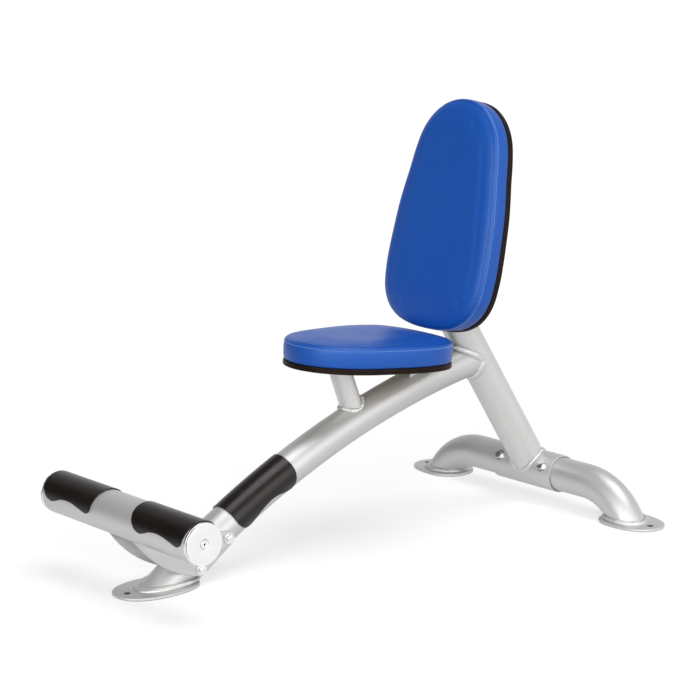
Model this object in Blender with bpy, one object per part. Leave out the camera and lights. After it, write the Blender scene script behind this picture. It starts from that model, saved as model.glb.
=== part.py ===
"""Utility bench: fixed seat and back rest on a welded tube frame, with a round footrest bar.

Frame: metres, +Z up, origin on the floor under the middle of the bench.
The sitter faces -Y, towards the footrest, and has +X on the left hand.
"""
import math

import bmesh
import bpy
from mathutils import Matrix, Vector

X_AXIS = Vector((1.0, 0.0, 0.0))
Y_AXIS = Vector((0.0, 1.0, 0.0))
Z_AXIS = Vector((0.0, 0.0, 1.0))

# Clearances
SEAT_GAP = 0.0003            # between pieces that touch
COPE_GAP = 0.0006            # between a coped tube end and the round tube that it meets
BOLT_PLAY = 0.0008           # between a bolt shank and its hole, all round

# Feet
BASE_LENGTH = 1.118          # front foot plate centre to the axis of the rear legs
BASE_WIDTH = 0.6108          # between the middles of the two rear feet
FOOT_PLATE_THICKNESS = 0.006
FOOT_PLATE_BEVEL = 0.0012
FRONT_PLATE_FRONT = 0.100    # plate reach from its centre, towards the footrest
FRONT_PLATE_BACK = 0.100
FRONT_PLATE_HALF_WIDTH = 0.066
REAR_PLATE_OUTER = 0.096     # reach from the leg centre, outwards
REAR_PLATE_INNER = 0.066
REAR_PLATE_HALF_WIDTH = 0.062
REAR_PLATE_BACK = 0.004      # middle of the plate behind the leg axis
ANCHOR_HOLE = 0.014
ANCHOR_EDGE = 0.026          # anchor hole centre to the end of its plate

# Spine, one arched tube from the front foot to the upright
SPINE_OD = 0.0785
SPINE_WALL = 0.0032
SPINE_RADIUS = 2.10          # radius of the arch, on the tube axis
SPINE_DROP = 0.0651          # tube axis below the seat's board, at the rear bracket
SPINE_FOOT_BACK = 0.024      # tube axis on the front plate, behind the plate centre

# Upright, from the rear sleeve up to the back rest
UPRIGHT_OD = 0.080
UPRIGHT_WALL = 0.0032
UPRIGHT_LEAN = math.radians(33.5)

# Rear legs and the sleeve that joins them
LEG_OD = 0.080
LEG_WALL = 0.0032
LEG_AXIS_HEIGHT = 0.0725
LEG_BEND_RADIUS = 0.150
LEG_MIDDLE_GAP = 0.004       # between the two leg ends inside the sleeve
SLEEVE_WALL = 0.00415        # makes it 88.9 mm outside
SLEEVE_HALF_LENGTH = 0.097
SLEEVE_BOLT_X = 0.070
SLEEVE_BOLT_RISE = math.radians(27.0)

# Footrest
FOOTREST_OD = 0.0889
FOOTREST_WALL = 0.003
FOOTREST_HALF_LENGTH = 0.2605    # to the outer face of the end cap
FOOTREST_AHEAD = 0.0676          # tube axis ahead of the front foot centre
FOOTREST_HEIGHT = 0.1702
CAP_THICKNESS = 0.0062
CAP_BEVEL = 0.0012
CAP_PLUG_LENGTH = 0.014
CAP_SCREW_HEAD = 0.019
CAP_SCREW_RISE = 0.0008      # head above the face of the cap
CAP_SCREW_SHANK = 0.008
CAP_SCREW_REACH = 0.012      # shank beyond the plug
CAP_SCREW_SOCKET = 0.005
CAP_SCREW_SOCKET_DEPTH = 0.0025
CAP_RECESS_DEPTH = 0.003     # seat of the screw head in the cap

# Footrest flanges and the two bolts that hold them on the spine
FLANGE_THICKNESS = 0.006
FLANGE_TOP_BOLT_ALONG = 0.159    # along the spine, from the front plate
FLANGE_LOW_BOLT_ALONG = 0.067
FLANGE_TOP_BOLT_DROP = 0.004     # below the spine axis
FLANGE_LOW_BOLT_DROP = 0.009
FLANGE_CORNER = 0.016            # corner radius round each bolt
FLANGE_WRAP_FRONT = math.radians(24.0)   # where the flange leaves the tube, from its underside
FLANGE_WRAP_BACK = math.radians(-88.0)
FLANGE_BELLY = 0.018             # how far the lower edge curves out from its chord
FLANGE_HOLLOW = 0.012            # how far the upper edge curves in

# Rubber grips
GRIP_THICKNESS = 0.0025
FOOTREST_GRIP_INNER = 0.065      # inner end of each grip, from the middle of the bench
FOOTREST_GRIP_LENGTH = 0.1885
SPINE_GRIP_ALONG = 0.197         # lower end of the grip, from the front plate
SPINE_GRIP_LENGTH = 0.182
FOOTREST_GRIP_ROWS = 5           # facets from the top of the tube down to each border
SPINE_GRIP_ROWS = 7

# Seat pad
SEAT_TUCK_LENGTH = 0.0141        # reach of the rear seam behind the foot of the back rest
SEAT_HEIGHT = 0.455
SEAT_TILT = math.radians(4.4)    # the front edge stands higher
SEAT_WIDTH = 0.300
SEAT_FRONT = 0.231
SEAT_BACK = 0.156

# Back pad
BACK_CENTRE_BACK = 0.1313    # seam centre behind the upright's axis, at the same height
BACK_CENTRE_HEIGHT = 0.2676  # seam centre above the seat's
BACK_LEAN = math.radians(13.5)
BACK_WIDTH = 0.324
BACK_UP = 0.255
BACK_DOWN = 0.269

# Padding shared by both pads
PAD_BAND = 0.0425            # stitched side band
PAD_CROWN = 0.009            # middle of the pad above its seam
PAD_BULGE = 0.0030           # of the side band between its foot and its seam
PAD_TUCK = 0.0035            # foot of the band drawn in over the trim
PAD_TUCK_SHARE = 0.10        # part of the band's height that is drawn in
PAD_SEAM_IN = 0.0016         # welt of the seam, inside the seam line
PAD_SHOULDER_IN = 0.0075     # face inside the seam line where it turns flat
PAD_SHOULDER_RISE = 0.0042
TRIM_HEIGHT = 0.0125
TRIM_ROUND = 0.0028          # radius of the trim's outer corners
TRIM_PROUD = 0.0026          # beyond the seam line of the pad
TRIM_WALL = 0.0055           # inside the seam line
TRIM_LIP = 0.0025
TRIM_LIP_REACH = 0.020       # lip under the board

# Brackets under and behind the pads
POST_OD = 0.050
POST_WALL = 0.003
POST_FOOT_ALONG = 0.174      # post axis on the spine axis, ahead of the rear bracket
POST_LEAN = math.radians(21.0)
BRACKET_THICKNESS = 0.005
SEAT_PLATE_WIDTH = 0.120
SEAT_PLATE_LENGTH = 0.076
SEAT_PLATE_CORNER = 0.010
SEAT_BRACKET_BACK = 0.110    # rear bracket behind the seat centre
SEAT_BRACKET_WIDTH = 0.110
SEAT_BRACKET_LENGTH = 0.040
SEAT_BRACKET_LEG_X = 0.020
SEAT_BRACKET_LEG_REACH = 0.060   # before the legs are cut to sit on the spine
CHANNEL_WIDTH = 0.108
CHANNEL_DEPTH = 0.026
CHANNEL_BOTTOM = -0.232      # ends of the channel, along the back pad
CHANNEL_TOP = 0.075
CHANNEL_FOLD = 0.006         # outer radius of the folds

# Fasteners
FRAME_BOLT = 0.010
FRAME_BOLT_HEAD = 0.0185     # across corners
FRAME_BOLT_HEAD_HEIGHT = 0.0064
FRAME_NUT_HEIGHT = 0.0085
HEX_FACE = 0.84              # round face of a hex head, as a share of the size across corners
HEX_CHAMFER = 0.82           # height at which the corners start to slope, as a share of the head
WASHER_OD = 0.024
WASHER_THICKNESS = 0.002
PAD_BOLT = 0.008
PAD_BOLT_HEAD = 0.0145
PAD_BOLT_HEAD_HEIGHT = 0.0053
PAD_BOLT_BITE = 0.009        # shank inside the board
BOLT_BEYOND_NUT = 0.004      # shank showing past a nut
SLEEVE_BOLT_LENGTH = 0.022
SEAT_BOLT_X = 0.040
BACK_BOLT_X = 0.030
BACK_BOLT_LOW = -0.030
BACK_BOLT_HIGH = 0.050

# Weld beads
WELD_LEG = 0.0075
WELD_BULGE = 0.0012
WELD_OFF_TUBE = 0.0009       # clears the flat facets of the branch tube

# Facets and cutters
CUT_PAST = 0.010             # how far a cutter runs past what it cuts
TUBE_SIDES = 28
PAD_POINTS = 40
SECTION_MARGIN = 0.93        # last whole section of a tube stops short of what it meets
HOLE_SIDES = 16
WASHER_SIDES = 16
GRIP_COLUMNS = 21

FINISHES = {
    "silver_coat": ((0.46, 0.46, 0.45, 1.0), 0.38, 0.65),
    "weld_silver": ((0.52, 0.52, 0.51, 1.0), 0.32, 0.70),
    "blue_vinyl": ((0.012, 0.075, 0.40, 1.0), 0.45, 0.0),
    "black_rubber": ((0.018, 0.014, 0.013, 1.0), 0.60, 0.0),
    "plywood": ((0.38, 0.25, 0.13, 1.0), 0.75, 0.0),
    "polished_aluminium": ((0.88, 0.88, 0.88, 1.0), 0.18, 1.0),
    "zinc": ((0.70, 0.71, 0.73, 1.0), 0.25, 1.0),
}

for old_object in list(bpy.data.objects):
    bpy.data.objects.remove(old_object, do_unlink=True)


# Values worked out from the sizes above. The origin lies halfway between the footrest grips and
# the rear plates, the back rest rides on the upright, the seat lies just under its foot, and the
# arch springs so steeply that it passes under the seat's rear bracket.
FOOTREST_FRONT = FOOTREST_AHEAD + FOOTREST_OD / 2.0 + SEAT_GAP + GRIP_THICKNESS
REAR_PLATE_END = BASE_LENGTH + REAR_PLATE_BACK + REAR_PLATE_HALF_WIDTH
FRONT_FOOT_Y = (FOOTREST_FRONT - REAR_PLATE_END) / 2.0
REAR_LEG_Y = FRONT_FOOT_Y + BASE_LENGTH
PLATE_TOP = FOOT_PLATE_THICKNESS + SEAT_GAP
SLEEVE_OD = LEG_OD + 2.0 * (SEAT_GAP + SLEEVE_WALL)
LEG_BEND_ANGLE = math.acos(1.0 - (LEG_AXIS_HEIGHT - PLATE_TOP) / LEG_BEND_RADIUS)
LEG_FOOT_X = BASE_WIDTH / 2.0
LEG_BEND_START = LEG_FOOT_X - LEG_BEND_RADIUS * math.sin(LEG_BEND_ANGLE)
BOARD_UNDERSIDE = -(PAD_BAND + SEAT_GAP + TRIM_HEIGHT - TRIM_LIP - SEAT_GAP)
UPRIGHT_FOOT = Vector((0.0, REAR_LEG_Y, LEG_AXIS_HEIGHT))
UPRIGHT_DIRECTION = Vector((0.0, -math.sin(UPRIGHT_LEAN), math.cos(UPRIGHT_LEAN)))
FOOTREST_CENTRE = Vector((0.0, FRONT_FOOT_Y - FOOTREST_AHEAD, FOOTREST_HEIGHT))

BACK_HEIGHT = SEAT_HEIGHT + BACK_CENTRE_HEIGHT
BACK_CENTRE = Vector((0.0, BACK_CENTRE_BACK + REAR_LEG_Y
                      - (BACK_HEIGHT - LEG_AXIS_HEIGHT) * math.tan(UPRIGHT_LEAN), BACK_HEIGHT))
BACK_TURN = math.pi / 2.0 - BACK_LEAN
BACK_MATRIX = Matrix.Translation(BACK_CENTRE) @ Matrix.Rotation(BACK_TURN, 4, "X")

SEAT_REAR_Y = BACK_CENTRE.y - BACK_DOWN * math.sin(BACK_LEAN) + SEAT_TUCK_LENGTH
SEAT_CENTRE = Vector((0.0, SEAT_REAR_Y - SEAT_BACK * math.cos(SEAT_TILT), SEAT_HEIGHT))
SEAT_TURN = -SEAT_TILT
SEAT_MATRIX = Matrix.Translation(SEAT_CENTRE) @ Matrix.Rotation(SEAT_TURN, 4, "X")

SPINE_FOOT = Vector((0.0, FRONT_FOOT_Y + SPINE_FOOT_BACK, PLATE_TOP))
SPINE_CHORD = (SEAT_MATRIX @ Vector((0.0, SEAT_BRACKET_BACK, BOARD_UNDERSIDE))
               - Z_AXIS * SPINE_DROP - SPINE_FOOT)
SPINE_HALF_TURN = math.asin(SPINE_CHORD.length / (2.0 * SPINE_RADIUS))
SPINE_FOOT_SLOPE = math.atan2(SPINE_CHORD.z, SPINE_CHORD.y) + SPINE_HALF_TURN
SPINE_CENTRE = SPINE_FOOT + SPINE_RADIUS * Vector(
    (0.0, math.sin(SPINE_FOOT_SLOPE), -math.cos(SPINE_FOOT_SLOPE)))
POST_FOOT = 2.0 * SPINE_HALF_TURN * SPINE_RADIUS - POST_FOOT_ALONG


def paint(piece, finish):
    """Give a piece its own material in one of the bench's finishes."""
    color, roughness, metallic = FINISHES[finish]
    material = bpy.data.materials.new(piece.name + "_" + finish)
    material.use_nodes = True
    shader = material.node_tree.nodes["Principled BSDF"]
    shader.inputs["Base Color"].default_value = color
    shader.inputs["Roughness"].default_value = roughness
    shader.inputs["Metallic"].default_value = metallic
    piece.data.materials.append(material)


def add_piece(name, bm, finish, parent=None, smooth_angle=35.0):
    """Turn a bmesh into a named, painted object, shaded smooth up to an angle."""
    bmesh.ops.recalc_face_normals(bm, faces=bm.faces)
    mesh = bpy.data.meshes.new(name)
    bm.to_mesh(mesh)
    bm.free()
    piece = bpy.data.objects.new(name, mesh)
    bpy.context.scene.collection.objects.link(piece)
    mesh.shade_smooth()
    mesh.set_sharp_from_angle(angle=math.radians(smooth_angle))
    paint(piece, finish)
    piece.parent = parent
    return piece


def add_cutter(name, bm, parent=None):
    """A cutting shape, drawn as wire and left out of renders."""
    bmesh.ops.recalc_face_normals(bm, faces=bm.faces)
    mesh = bpy.data.meshes.new(name)
    bm.to_mesh(mesh)
    bm.free()
    cutter = bpy.data.objects.new(name, mesh)
    bpy.context.scene.collection.objects.link(cutter)
    cutter.hide_render = True
    cutter.display_type = "WIRE"
    cutter.parent = parent
    return cutter


def cut(piece, cutter):
    """Subtract a cutter from a piece with an exact Boolean."""
    modifier = piece.modifiers.new("Cut " + cutter.name, "BOOLEAN")
    modifier.operation = "DIFFERENCE"
    modifier.solver = "EXACT"
    modifier.object = cutter


def axis_matrix(point, direction, up=Z_AXIS):
    """Matrix that puts local Z along a direction at a point, with local X square to up."""
    z = direction.normalized()
    x = up.cross(z)
    if x.length < 1e-6:
        x = X_AXIS.copy()
    x.normalize()
    y = z.cross(x)
    return Matrix.Translation(point) @ Matrix((x, y, z)).transposed().to_4x4()


def bridge(bm, loop_a, loop_b):
    """Quads between two closed loops of the same count."""
    count = len(loop_a)
    for i in range(count):
        j = (i + 1) % count
        bm.faces.new((loop_a[i], loop_a[j], loop_b[j], loop_b[i]))


def rod(bm, start, end, radius, sides):
    """A solid round rod between two points."""
    axis = end - start
    place = axis_matrix((start + end) / 2.0, axis)
    bmesh.ops.create_cone(bm, cap_ends=True, segments=sides, radius1=radius, radius2=radius,
                          depth=axis.length, matrix=place)
    return bm


def hole_cutter(name, start, end, radius, parent=None):
    """A round cutter for a bolt hole between two points."""
    return add_cutter(name, rod(bmesh.new(), start, end, radius, HOLE_SIDES), parent)


# Tubes

class Station:
    """One round section of a tube: its centre and the two unit axes of its plane."""

    def __init__(self, centre, across, up):
        self.centre = centre
        self.across = across
        self.up = up
        self.along = across.cross(up)

    def point(self, radius, angle):
        """Angle runs from the up axis towards the across axis."""
        return self.centre + radius * (math.cos(angle) * self.up + math.sin(angle) * self.across)


def section_points(station, radius, sides, end_surface):
    """Points of one section, each slid along the tube onto the end surface if there is one."""
    points = [station.point(radius, 2.0 * math.pi * k / sides) for k in range(sides)]
    if end_surface:
        points = [end_surface(point, station.along) for point in points]
    return points


def tube_mesh(stations, outer, wall, start_surface=None, end_surface=None):
    """An open tube with a real wall, its ends shaped to the surfaces that they meet."""
    bm = bmesh.new()
    rims = []
    bore_stations = stations[:-1:2] + stations[-1:]
    for radius, sections in ((outer, stations), (outer - wall, bore_stations)):
        loops = []
        for i, station in enumerate(sections):
            surface = None
            if i == 0:
                surface = start_surface
            elif i == len(sections) - 1:
                surface = end_surface
            points = section_points(station, radius, TUBE_SIDES, surface)
            loops.append([bm.verts.new(point) for point in points])
        for lower, upper in zip(loops, loops[1:]):
            bridge(bm, lower, upper)
        rims.append((loops[0], loops[-1]))
    bridge(bm, rims[0][0], rims[1][0])
    bridge(bm, rims[0][1], rims[1][1])
    return bm


def plane_surface(point_on_plane, normal):
    """End surface that mitres a tube on a plane."""
    def meet(point, direction):
        step = (point_on_plane - point).dot(normal) / direction.dot(normal)
        return point + step * direction
    return meet


def cylinder_surface(axis_point, axis_direction, radius, side):
    """End surface that copes a tube onto a round tube, on the side that side points to."""
    axis = axis_direction.normalized()

    def meet(point, direction):
        offset = point - axis_point
        flat_offset = offset - axis * offset.dot(axis)
        flat_direction = direction - axis * direction.dot(axis)
        a = flat_direction.length_squared
        b = flat_offset.dot(flat_direction)
        c = flat_offset.length_squared - radius * radius
        root = math.sqrt(max(b * b - a * c, 0.0))
        steps = ((-b - root) / a, (-b + root) / a)
        hits = [point + step * direction for step in steps]
        return max(hits, key=lambda hit: (hit - axis_point).dot(side))
    return meet


def weld_mesh(foot_points, points_above, base_normals):
    """A closed bead round a joint: up the branch tube on one side, out over the base on the other.

    foot_points lie where the branch meets the base, and points_above on the branch's next
    section, one for each side of the tube.
    """
    bm = bmesh.new()
    centre = sum(foot_points, Vector()) / len(foot_points)
    loops = []
    for i, foot in enumerate(foot_points):
        before = foot_points[i - 1]
        after = foot_points[(i + 1) % len(foot_points)]
        run = (after - before).normalized()
        up_branch = (points_above[i] - foot).normalized()
        normal = base_normals[i]
        outward = run.cross(normal).normalized()
        if outward.dot(foot - centre) < 0.0:
            outward = -outward
        off_branch = run.cross(up_branch).normalized()
        if off_branch.dot(outward) < 0.0:
            off_branch = -off_branch
        aside = (WELD_OFF_TUBE - SEAT_GAP * normal.dot(off_branch)) / outward.dot(off_branch)
        root = foot + outward * aside + normal * SEAT_GAP
        high = root + up_branch * WELD_LEG
        low = root + outward * WELD_LEG
        middle = (high + low) / 2.0
        crest = middle + (middle - root).normalized() * WELD_BULGE
        loops.append([bm.verts.new(p) for p in (root, high, crest, low)])
    for here, there in zip(loops, loops[1:] + loops[:1]):
        bridge(bm, here, there)
    return bm


def spine_station(along):
    """Section of the spine at a distance along its axis from the front plate."""
    slope = SPINE_FOOT_SLOPE - along / SPINE_RADIUS
    outward = Vector((0.0, -math.sin(slope), math.cos(slope)))
    return Station(SPINE_CENTRE + SPINE_RADIUS * outward, -X_AXIS, outward)


def spine_length_to_upright():
    """Distance along the arch at which its axis crosses the axis of the upright."""
    square = Vector((0.0, math.cos(UPRIGHT_LEAN), math.sin(UPRIGHT_LEAN)))
    low, high = 0.0, SPINE_RADIUS * SPINE_FOOT_SLOPE
    for _ in range(60):
        middle = (low + high) / 2.0
        if (spine_station(middle).centre - UPRIGHT_FOOT).dot(square) < 0.0:
            low = middle
        else:
            high = middle
    return low


SPINE_LENGTH = spine_length_to_upright()


def stations_between(make_station, first, last, count):
    return [make_station(first + (last - first) * i / (count - 1)) for i in range(count)]


def build_spine():
    radius = SPINE_OD / 2.0
    clear_foot = radius / math.tan(SPINE_FOOT_SLOPE) / SECTION_MARGIN
    clear_top = SPINE_LENGTH - UPRIGHT_OD / 2.0 - SPINE_OD
    stations = [spine_station(0.0)]
    stations += stations_between(spine_station, clear_foot, clear_top, 10)
    stations.append(spine_station(SPINE_LENGTH))
    on_plate = plane_surface(SPINE_FOOT, Z_AXIS)
    on_upright = cylinder_surface(UPRIGHT_FOOT, UPRIGHT_DIRECTION,
                                  UPRIGHT_OD / 2.0 + COPE_GAP, -Y_AXIS)
    spine = add_piece("spine_tube", tube_mesh(stations, radius, SPINE_WALL, on_plate, on_upright),
                      "silver_coat")
    feet = section_points(stations[0], radius, TUBE_SIDES, on_plate)
    above = section_points(stations[1], radius, TUBE_SIDES, None)
    add_piece("weld_spine_foot", weld_mesh(feet, above, [Z_AXIS] * TUBE_SIDES), "weld_silver")
    tops = section_points(stations[-1], radius, TUBE_SIDES, on_upright)
    before = section_points(stations[-2], radius, TUBE_SIDES, None)
    normals = [radial_from_axis(p, UPRIGHT_FOOT, UPRIGHT_DIRECTION) for p in tops]
    add_piece("weld_spine_upright", weld_mesh(tops, before, normals), "weld_silver")
    return spine


def radial_from_axis(point, axis_point, axis_direction):
    axis = axis_direction.normalized()
    offset = point - axis_point
    return (offset - axis * offset.dot(axis)).normalized()


def pad_frame(name, centre, turn):
    """An empty at the middle of a pad's seam: local Y along the pad, local Z out of its face."""
    empty = bpy.data.objects.new(name, None)
    bpy.context.scene.collection.objects.link(empty)
    empty.location = centre
    empty.rotation_euler = (turn, 0.0, 0.0)
    empty.empty_display_size = 0.05
    return empty


def build_upright():
    radius = UPRIGHT_OD / 2.0
    back_normal = (BACK_MATRIX.to_3x3() @ Z_AXIS).normalized()
    web_back = BOARD_UNDERSIDE - SEAT_GAP - BRACKET_THICKNESS - SEAT_GAP
    on_channel = plane_surface(BACK_MATRIX @ Vector((0.0, 0.0, web_back)), back_normal)
    on_sleeve = cylinder_surface(UPRIGHT_FOOT, X_AXIS, SLEEVE_OD / 2.0 + COPE_GAP, Z_AXIS)
    up = -UPRIGHT_DIRECTION.cross(X_AXIS)
    bottom = Station(UPRIGHT_FOOT, X_AXIS, up)
    if bottom.along.dot(UPRIGHT_DIRECTION) < 0.0:
        bottom = Station(UPRIGHT_FOOT, -X_AXIS, up)
    reach = (BACK_CENTRE - UPRIGHT_FOOT).length
    top = Station(UPRIGHT_FOOT + UPRIGHT_DIRECTION * reach, bottom.across, bottom.up)
    mesh = tube_mesh([bottom, top], radius, UPRIGHT_WALL, on_sleeve, on_channel)
    upright = add_piece("upright_tube", mesh, "silver_coat")
    feet = section_points(bottom, radius, TUBE_SIDES, on_sleeve)
    above = section_points(top, radius, TUBE_SIDES, None)
    normals = [radial_from_axis(p, UPRIGHT_FOOT, X_AXIS) for p in feet]
    add_piece("weld_upright_foot", weld_mesh(feet, above, normals), "weld_silver")
    return upright


def leg_station(side, turn):
    """Section of a leg bend, turn radians after the bend starts."""
    centre = Vector((side * (LEG_BEND_START + LEG_BEND_RADIUS * math.sin(turn)), REAR_LEG_Y,
                     LEG_AXIS_HEIGHT - LEG_BEND_RADIUS * (1.0 - math.cos(turn))))
    up = Vector((side * math.sin(turn), 0.0, math.cos(turn)))
    return Station(centre, side * Y_AXIS, up)


def build_rear_legs():
    on_plate = plane_surface(Vector((0.0, 0.0, PLATE_TOP)), Z_AXIS)
    inner_bend = LEG_BEND_RADIUS - LEG_OD / 2.0
    touching_turn = math.acos((PLATE_TOP + LEG_BEND_RADIUS - LEG_AXIS_HEIGHT) / inner_bend)
    clear_turn = touching_turn * SECTION_MARGIN
    inner = LEG_MIDDLE_GAP / 2.0
    legs = {}
    for side, hand in ((1.0, "left"), (-1.0, "right")):
        start = leg_station(side, 0.0)
        start.centre.x = side * inner
        stations = [start] + [leg_station(side, clear_turn * i / 6) for i in range(7)]
        stations.append(leg_station(side, LEG_BEND_ANGLE))
        mesh = tube_mesh(stations, LEG_OD / 2.0, LEG_WALL, None, on_plate)
        legs[hand] = add_piece("rear_leg_" + hand, mesh, "silver_coat")
        feet = section_points(stations[-1], LEG_OD / 2.0, TUBE_SIDES, on_plate)
        above = section_points(stations[-2], LEG_OD / 2.0, TUBE_SIDES, None)
        add_piece("weld_leg_foot_" + hand, weld_mesh(feet, above, [Z_AXIS] * TUBE_SIDES),
                  "weld_silver")
    return legs


def build_sleeve():
    left = Station(UPRIGHT_FOOT - X_AXIS * SLEEVE_HALF_LENGTH, Y_AXIS, Z_AXIS)
    right = Station(UPRIGHT_FOOT + X_AXIS * SLEEVE_HALF_LENGTH, Y_AXIS, Z_AXIS)
    mesh = tube_mesh([left, right], SLEEVE_OD / 2.0, SLEEVE_WALL)
    return add_piece("rear_sleeve", mesh, "silver_coat")


# Foot plates

def egg_outline(front, back, half_width, count=36, fullness=2.25):
    """Rounded plate outline about its centre: front along -Y, back along +Y."""
    points = []
    for k in range(count):
        angle = 2.0 * math.pi * k / count
        c, s = math.cos(angle), math.sin(angle)
        reach = back if s > 0.0 else front
        x = half_width * math.copysign(abs(c) ** (2.0 / fullness), c)
        y = reach * math.copysign(abs(s) ** (2.0 / fullness), s)
        points.append((x, y))
    return points


def plate_mesh(outline, thickness, bevel, place=Matrix()):
    """A flat plate with a bevelled top edge, standing on local Z = 0."""
    bm = bmesh.new()
    bottom = bm.faces.new([bm.verts.new((x, y, 0.0)) for x, y in outline])
    grown = bmesh.ops.extrude_face_region(bm, geom=[bottom])
    top_verts = [v for v in grown["geom"] if isinstance(v, bmesh.types.BMVert)]
    bmesh.ops.translate(bm, verts=top_verts, vec=(0.0, 0.0, thickness))
    if bevel > 0.0:
        rim = [e for e in bm.edges if all(v.co.z > thickness / 2.0 for v in e.verts)]
        bmesh.ops.bevel(bm, geom=rim, offset=bevel, offset_type="OFFSET", segments=1,
                        profile=0.5, affect="EDGES")
    bmesh.ops.transform(bm, matrix=place, verts=bm.verts)
    return bm


def build_foot_plates():
    front = egg_outline(FRONT_PLATE_FRONT, FRONT_PLATE_BACK, FRONT_PLATE_HALF_WIDTH)
    place = Matrix.Translation((0.0, FRONT_FOOT_Y, 0.0))
    plate = add_piece("front_foot_plate",
                      plate_mesh(front, FOOT_PLATE_THICKNESS, FOOT_PLATE_BEVEL, place),
                      "silver_coat")
    hole = Vector((0.0, FRONT_FOOT_Y - FRONT_PLATE_FRONT + ANCHOR_EDGE, 0.0))
    through = Z_AXIS * (FOOT_PLATE_THICKNESS + CUT_PAST)
    cut(plate, hole_cutter("front_anchor_cutter", hole - through, hole + through,
                           ANCHOR_HOLE / 2.0))
    rear = egg_outline(REAR_PLATE_OUTER, REAR_PLATE_INNER, REAR_PLATE_HALF_WIDTH)
    plate_y = REAR_LEG_Y + REAR_PLATE_BACK
    for side, hand in ((1.0, "left"), (-1.0, "right")):
        place = (Matrix.Translation((side * LEG_FOOT_X, plate_y, 0.0))
                 @ Matrix.Rotation(side * math.pi / 2.0, 4, "Z"))
        plate = add_piece("rear_foot_plate_" + hand,
                          plate_mesh(rear, FOOT_PLATE_THICKNESS, FOOT_PLATE_BEVEL, place),
                          "silver_coat")
        hole = Vector((side * (LEG_FOOT_X + REAR_PLATE_OUTER - ANCHOR_EDGE), plate_y, 0.0))
        cut(plate, hole_cutter("rear_anchor_cutter_" + hand, hole - through, hole + through,
                               ANCHOR_HOLE / 2.0))


# Footrest

def build_footrest_tube():
    tube_half = FOOTREST_HALF_LENGTH - CAP_THICKNESS - SEAT_GAP
    ends = [Station(FOOTREST_CENTRE + X_AXIS * x, Y_AXIS, Z_AXIS) for x in (-tube_half, tube_half)]
    add_piece("footrest_tube", tube_mesh(ends, FOOTREST_OD / 2.0, FOOTREST_WALL), "silver_coat")


def revolve(profile, sides, place):
    """Solid turned about local Z from (radius, height) points, both ends on or off the axis."""
    bm = bmesh.new()
    loops = []
    for radius, height in profile:
        if radius < 1e-7:
            loops.append([bm.verts.new((0.0, 0.0, height))])
            continue
        loops.append([bm.verts.new((radius * math.cos(2.0 * math.pi * k / sides),
                                    radius * math.sin(2.0 * math.pi * k / sides), height))
                      for k in range(sides)])
    for lower, upper in zip(loops, loops[1:]):
        if len(lower) == 1 or len(upper) == 1:
            tip = lower[0] if len(lower) == 1 else upper[0]
            ring = upper if len(lower) == 1 else lower
            for k in range(sides):
                bm.faces.new((tip, ring[k], ring[(k + 1) % sides]))
        else:
            bridge(bm, lower, upper)
    bmesh.ops.transform(bm, matrix=place, verts=bm.verts)
    return bm


def build_end_caps():
    plug = FOOTREST_OD / 2.0 - FOOTREST_WALL - SEAT_GAP
    rim = FOOTREST_OD / 2.0
    hole = CAP_SCREW_SHANK / 2.0 + SEAT_GAP
    seat = CAP_SCREW_HEAD / 2.0 + SEAT_GAP
    seat_floor = CAP_THICKNESS - CAP_RECESS_DEPTH
    cap_profile = [
        (hole, -CAP_PLUG_LENGTH), (plug - CAP_BEVEL, -CAP_PLUG_LENGTH),
        (plug, -CAP_PLUG_LENGTH + CAP_BEVEL), (plug, 0.0), (rim, 0.0),
        (rim, CAP_THICKNESS - CAP_BEVEL), (rim - CAP_BEVEL, CAP_THICKNESS), (seat, CAP_THICKNESS),
        (seat, seat_floor), (hole, seat_floor)]
    head = CAP_SCREW_HEAD / 2.0
    under = seat_floor + SEAT_GAP
    crown = CAP_THICKNESS + CAP_SCREW_RISE
    socket_floor = crown - CAP_SCREW_SOCKET_DEPTH
    tip = -CAP_PLUG_LENGTH - CAP_SCREW_REACH
    screw_profile = [
        (0.0, tip), (CAP_SCREW_SHANK / 2.0, tip), (CAP_SCREW_SHANK / 2.0, under), (head, under),
        (head, crown - CAP_SCREW_RISE), (head - CAP_SCREW_RISE, crown),
        (CAP_SCREW_SOCKET / 2.0, crown), (CAP_SCREW_SOCKET / 2.0, socket_floor),
        (0.0, socket_floor)]
    for side, hand in ((1.0, "left"), (-1.0, "right")):
        inner_face = FOOTREST_CENTRE + X_AXIS * side * (FOOTREST_HALF_LENGTH - CAP_THICKNESS)
        place = axis_matrix(inner_face, X_AXIS * side)
        add_piece("footrest_cap_" + hand, ring_of(cap_profile, TUBE_SIDES, place),
                  "polished_aluminium")
        add_piece("footrest_cap_screw_" + hand, revolve(screw_profile, WASHER_SIDES, place), "zinc")


def ring_of(profile, sides, place):
    """A turned ring: the closed profile never touches the axis."""
    bm = bmesh.new()
    loops = []
    for radius, height in profile:
        loops.append([bm.verts.new((radius * math.cos(2.0 * math.pi * k / sides),
                                    radius * math.sin(2.0 * math.pi * k / sides), height))
                      for k in range(sides)])
    for lower, upper in zip(loops, loops[1:] + loops[:1]):
        bridge(bm, lower, upper)
    bmesh.ops.transform(bm, matrix=place, verts=bm.verts)
    return bm


def flange_bolt_points():
    """Where the two bolts cross the plane of the spine, as world points with x = 0."""
    top = spine_station(FLANGE_TOP_BOLT_ALONG)
    low = spine_station(FLANGE_LOW_BOLT_ALONG)
    return (top.centre - top.up * FLANGE_TOP_BOLT_DROP, low.centre - low.up * FLANGE_LOW_BOLT_DROP)


def bowed_edge(start, end, bow, count):
    """Points strictly between two ends of an edge that bows to the left of its run."""
    points = []
    run = end - start
    left = Vector((0.0, -run.z, run.y)).normalized()
    for i in range(1, count):
        t = i / count
        points.append(start + run * t + left * bow * 4.0 * t * (1.0 - t))
    return points


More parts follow.
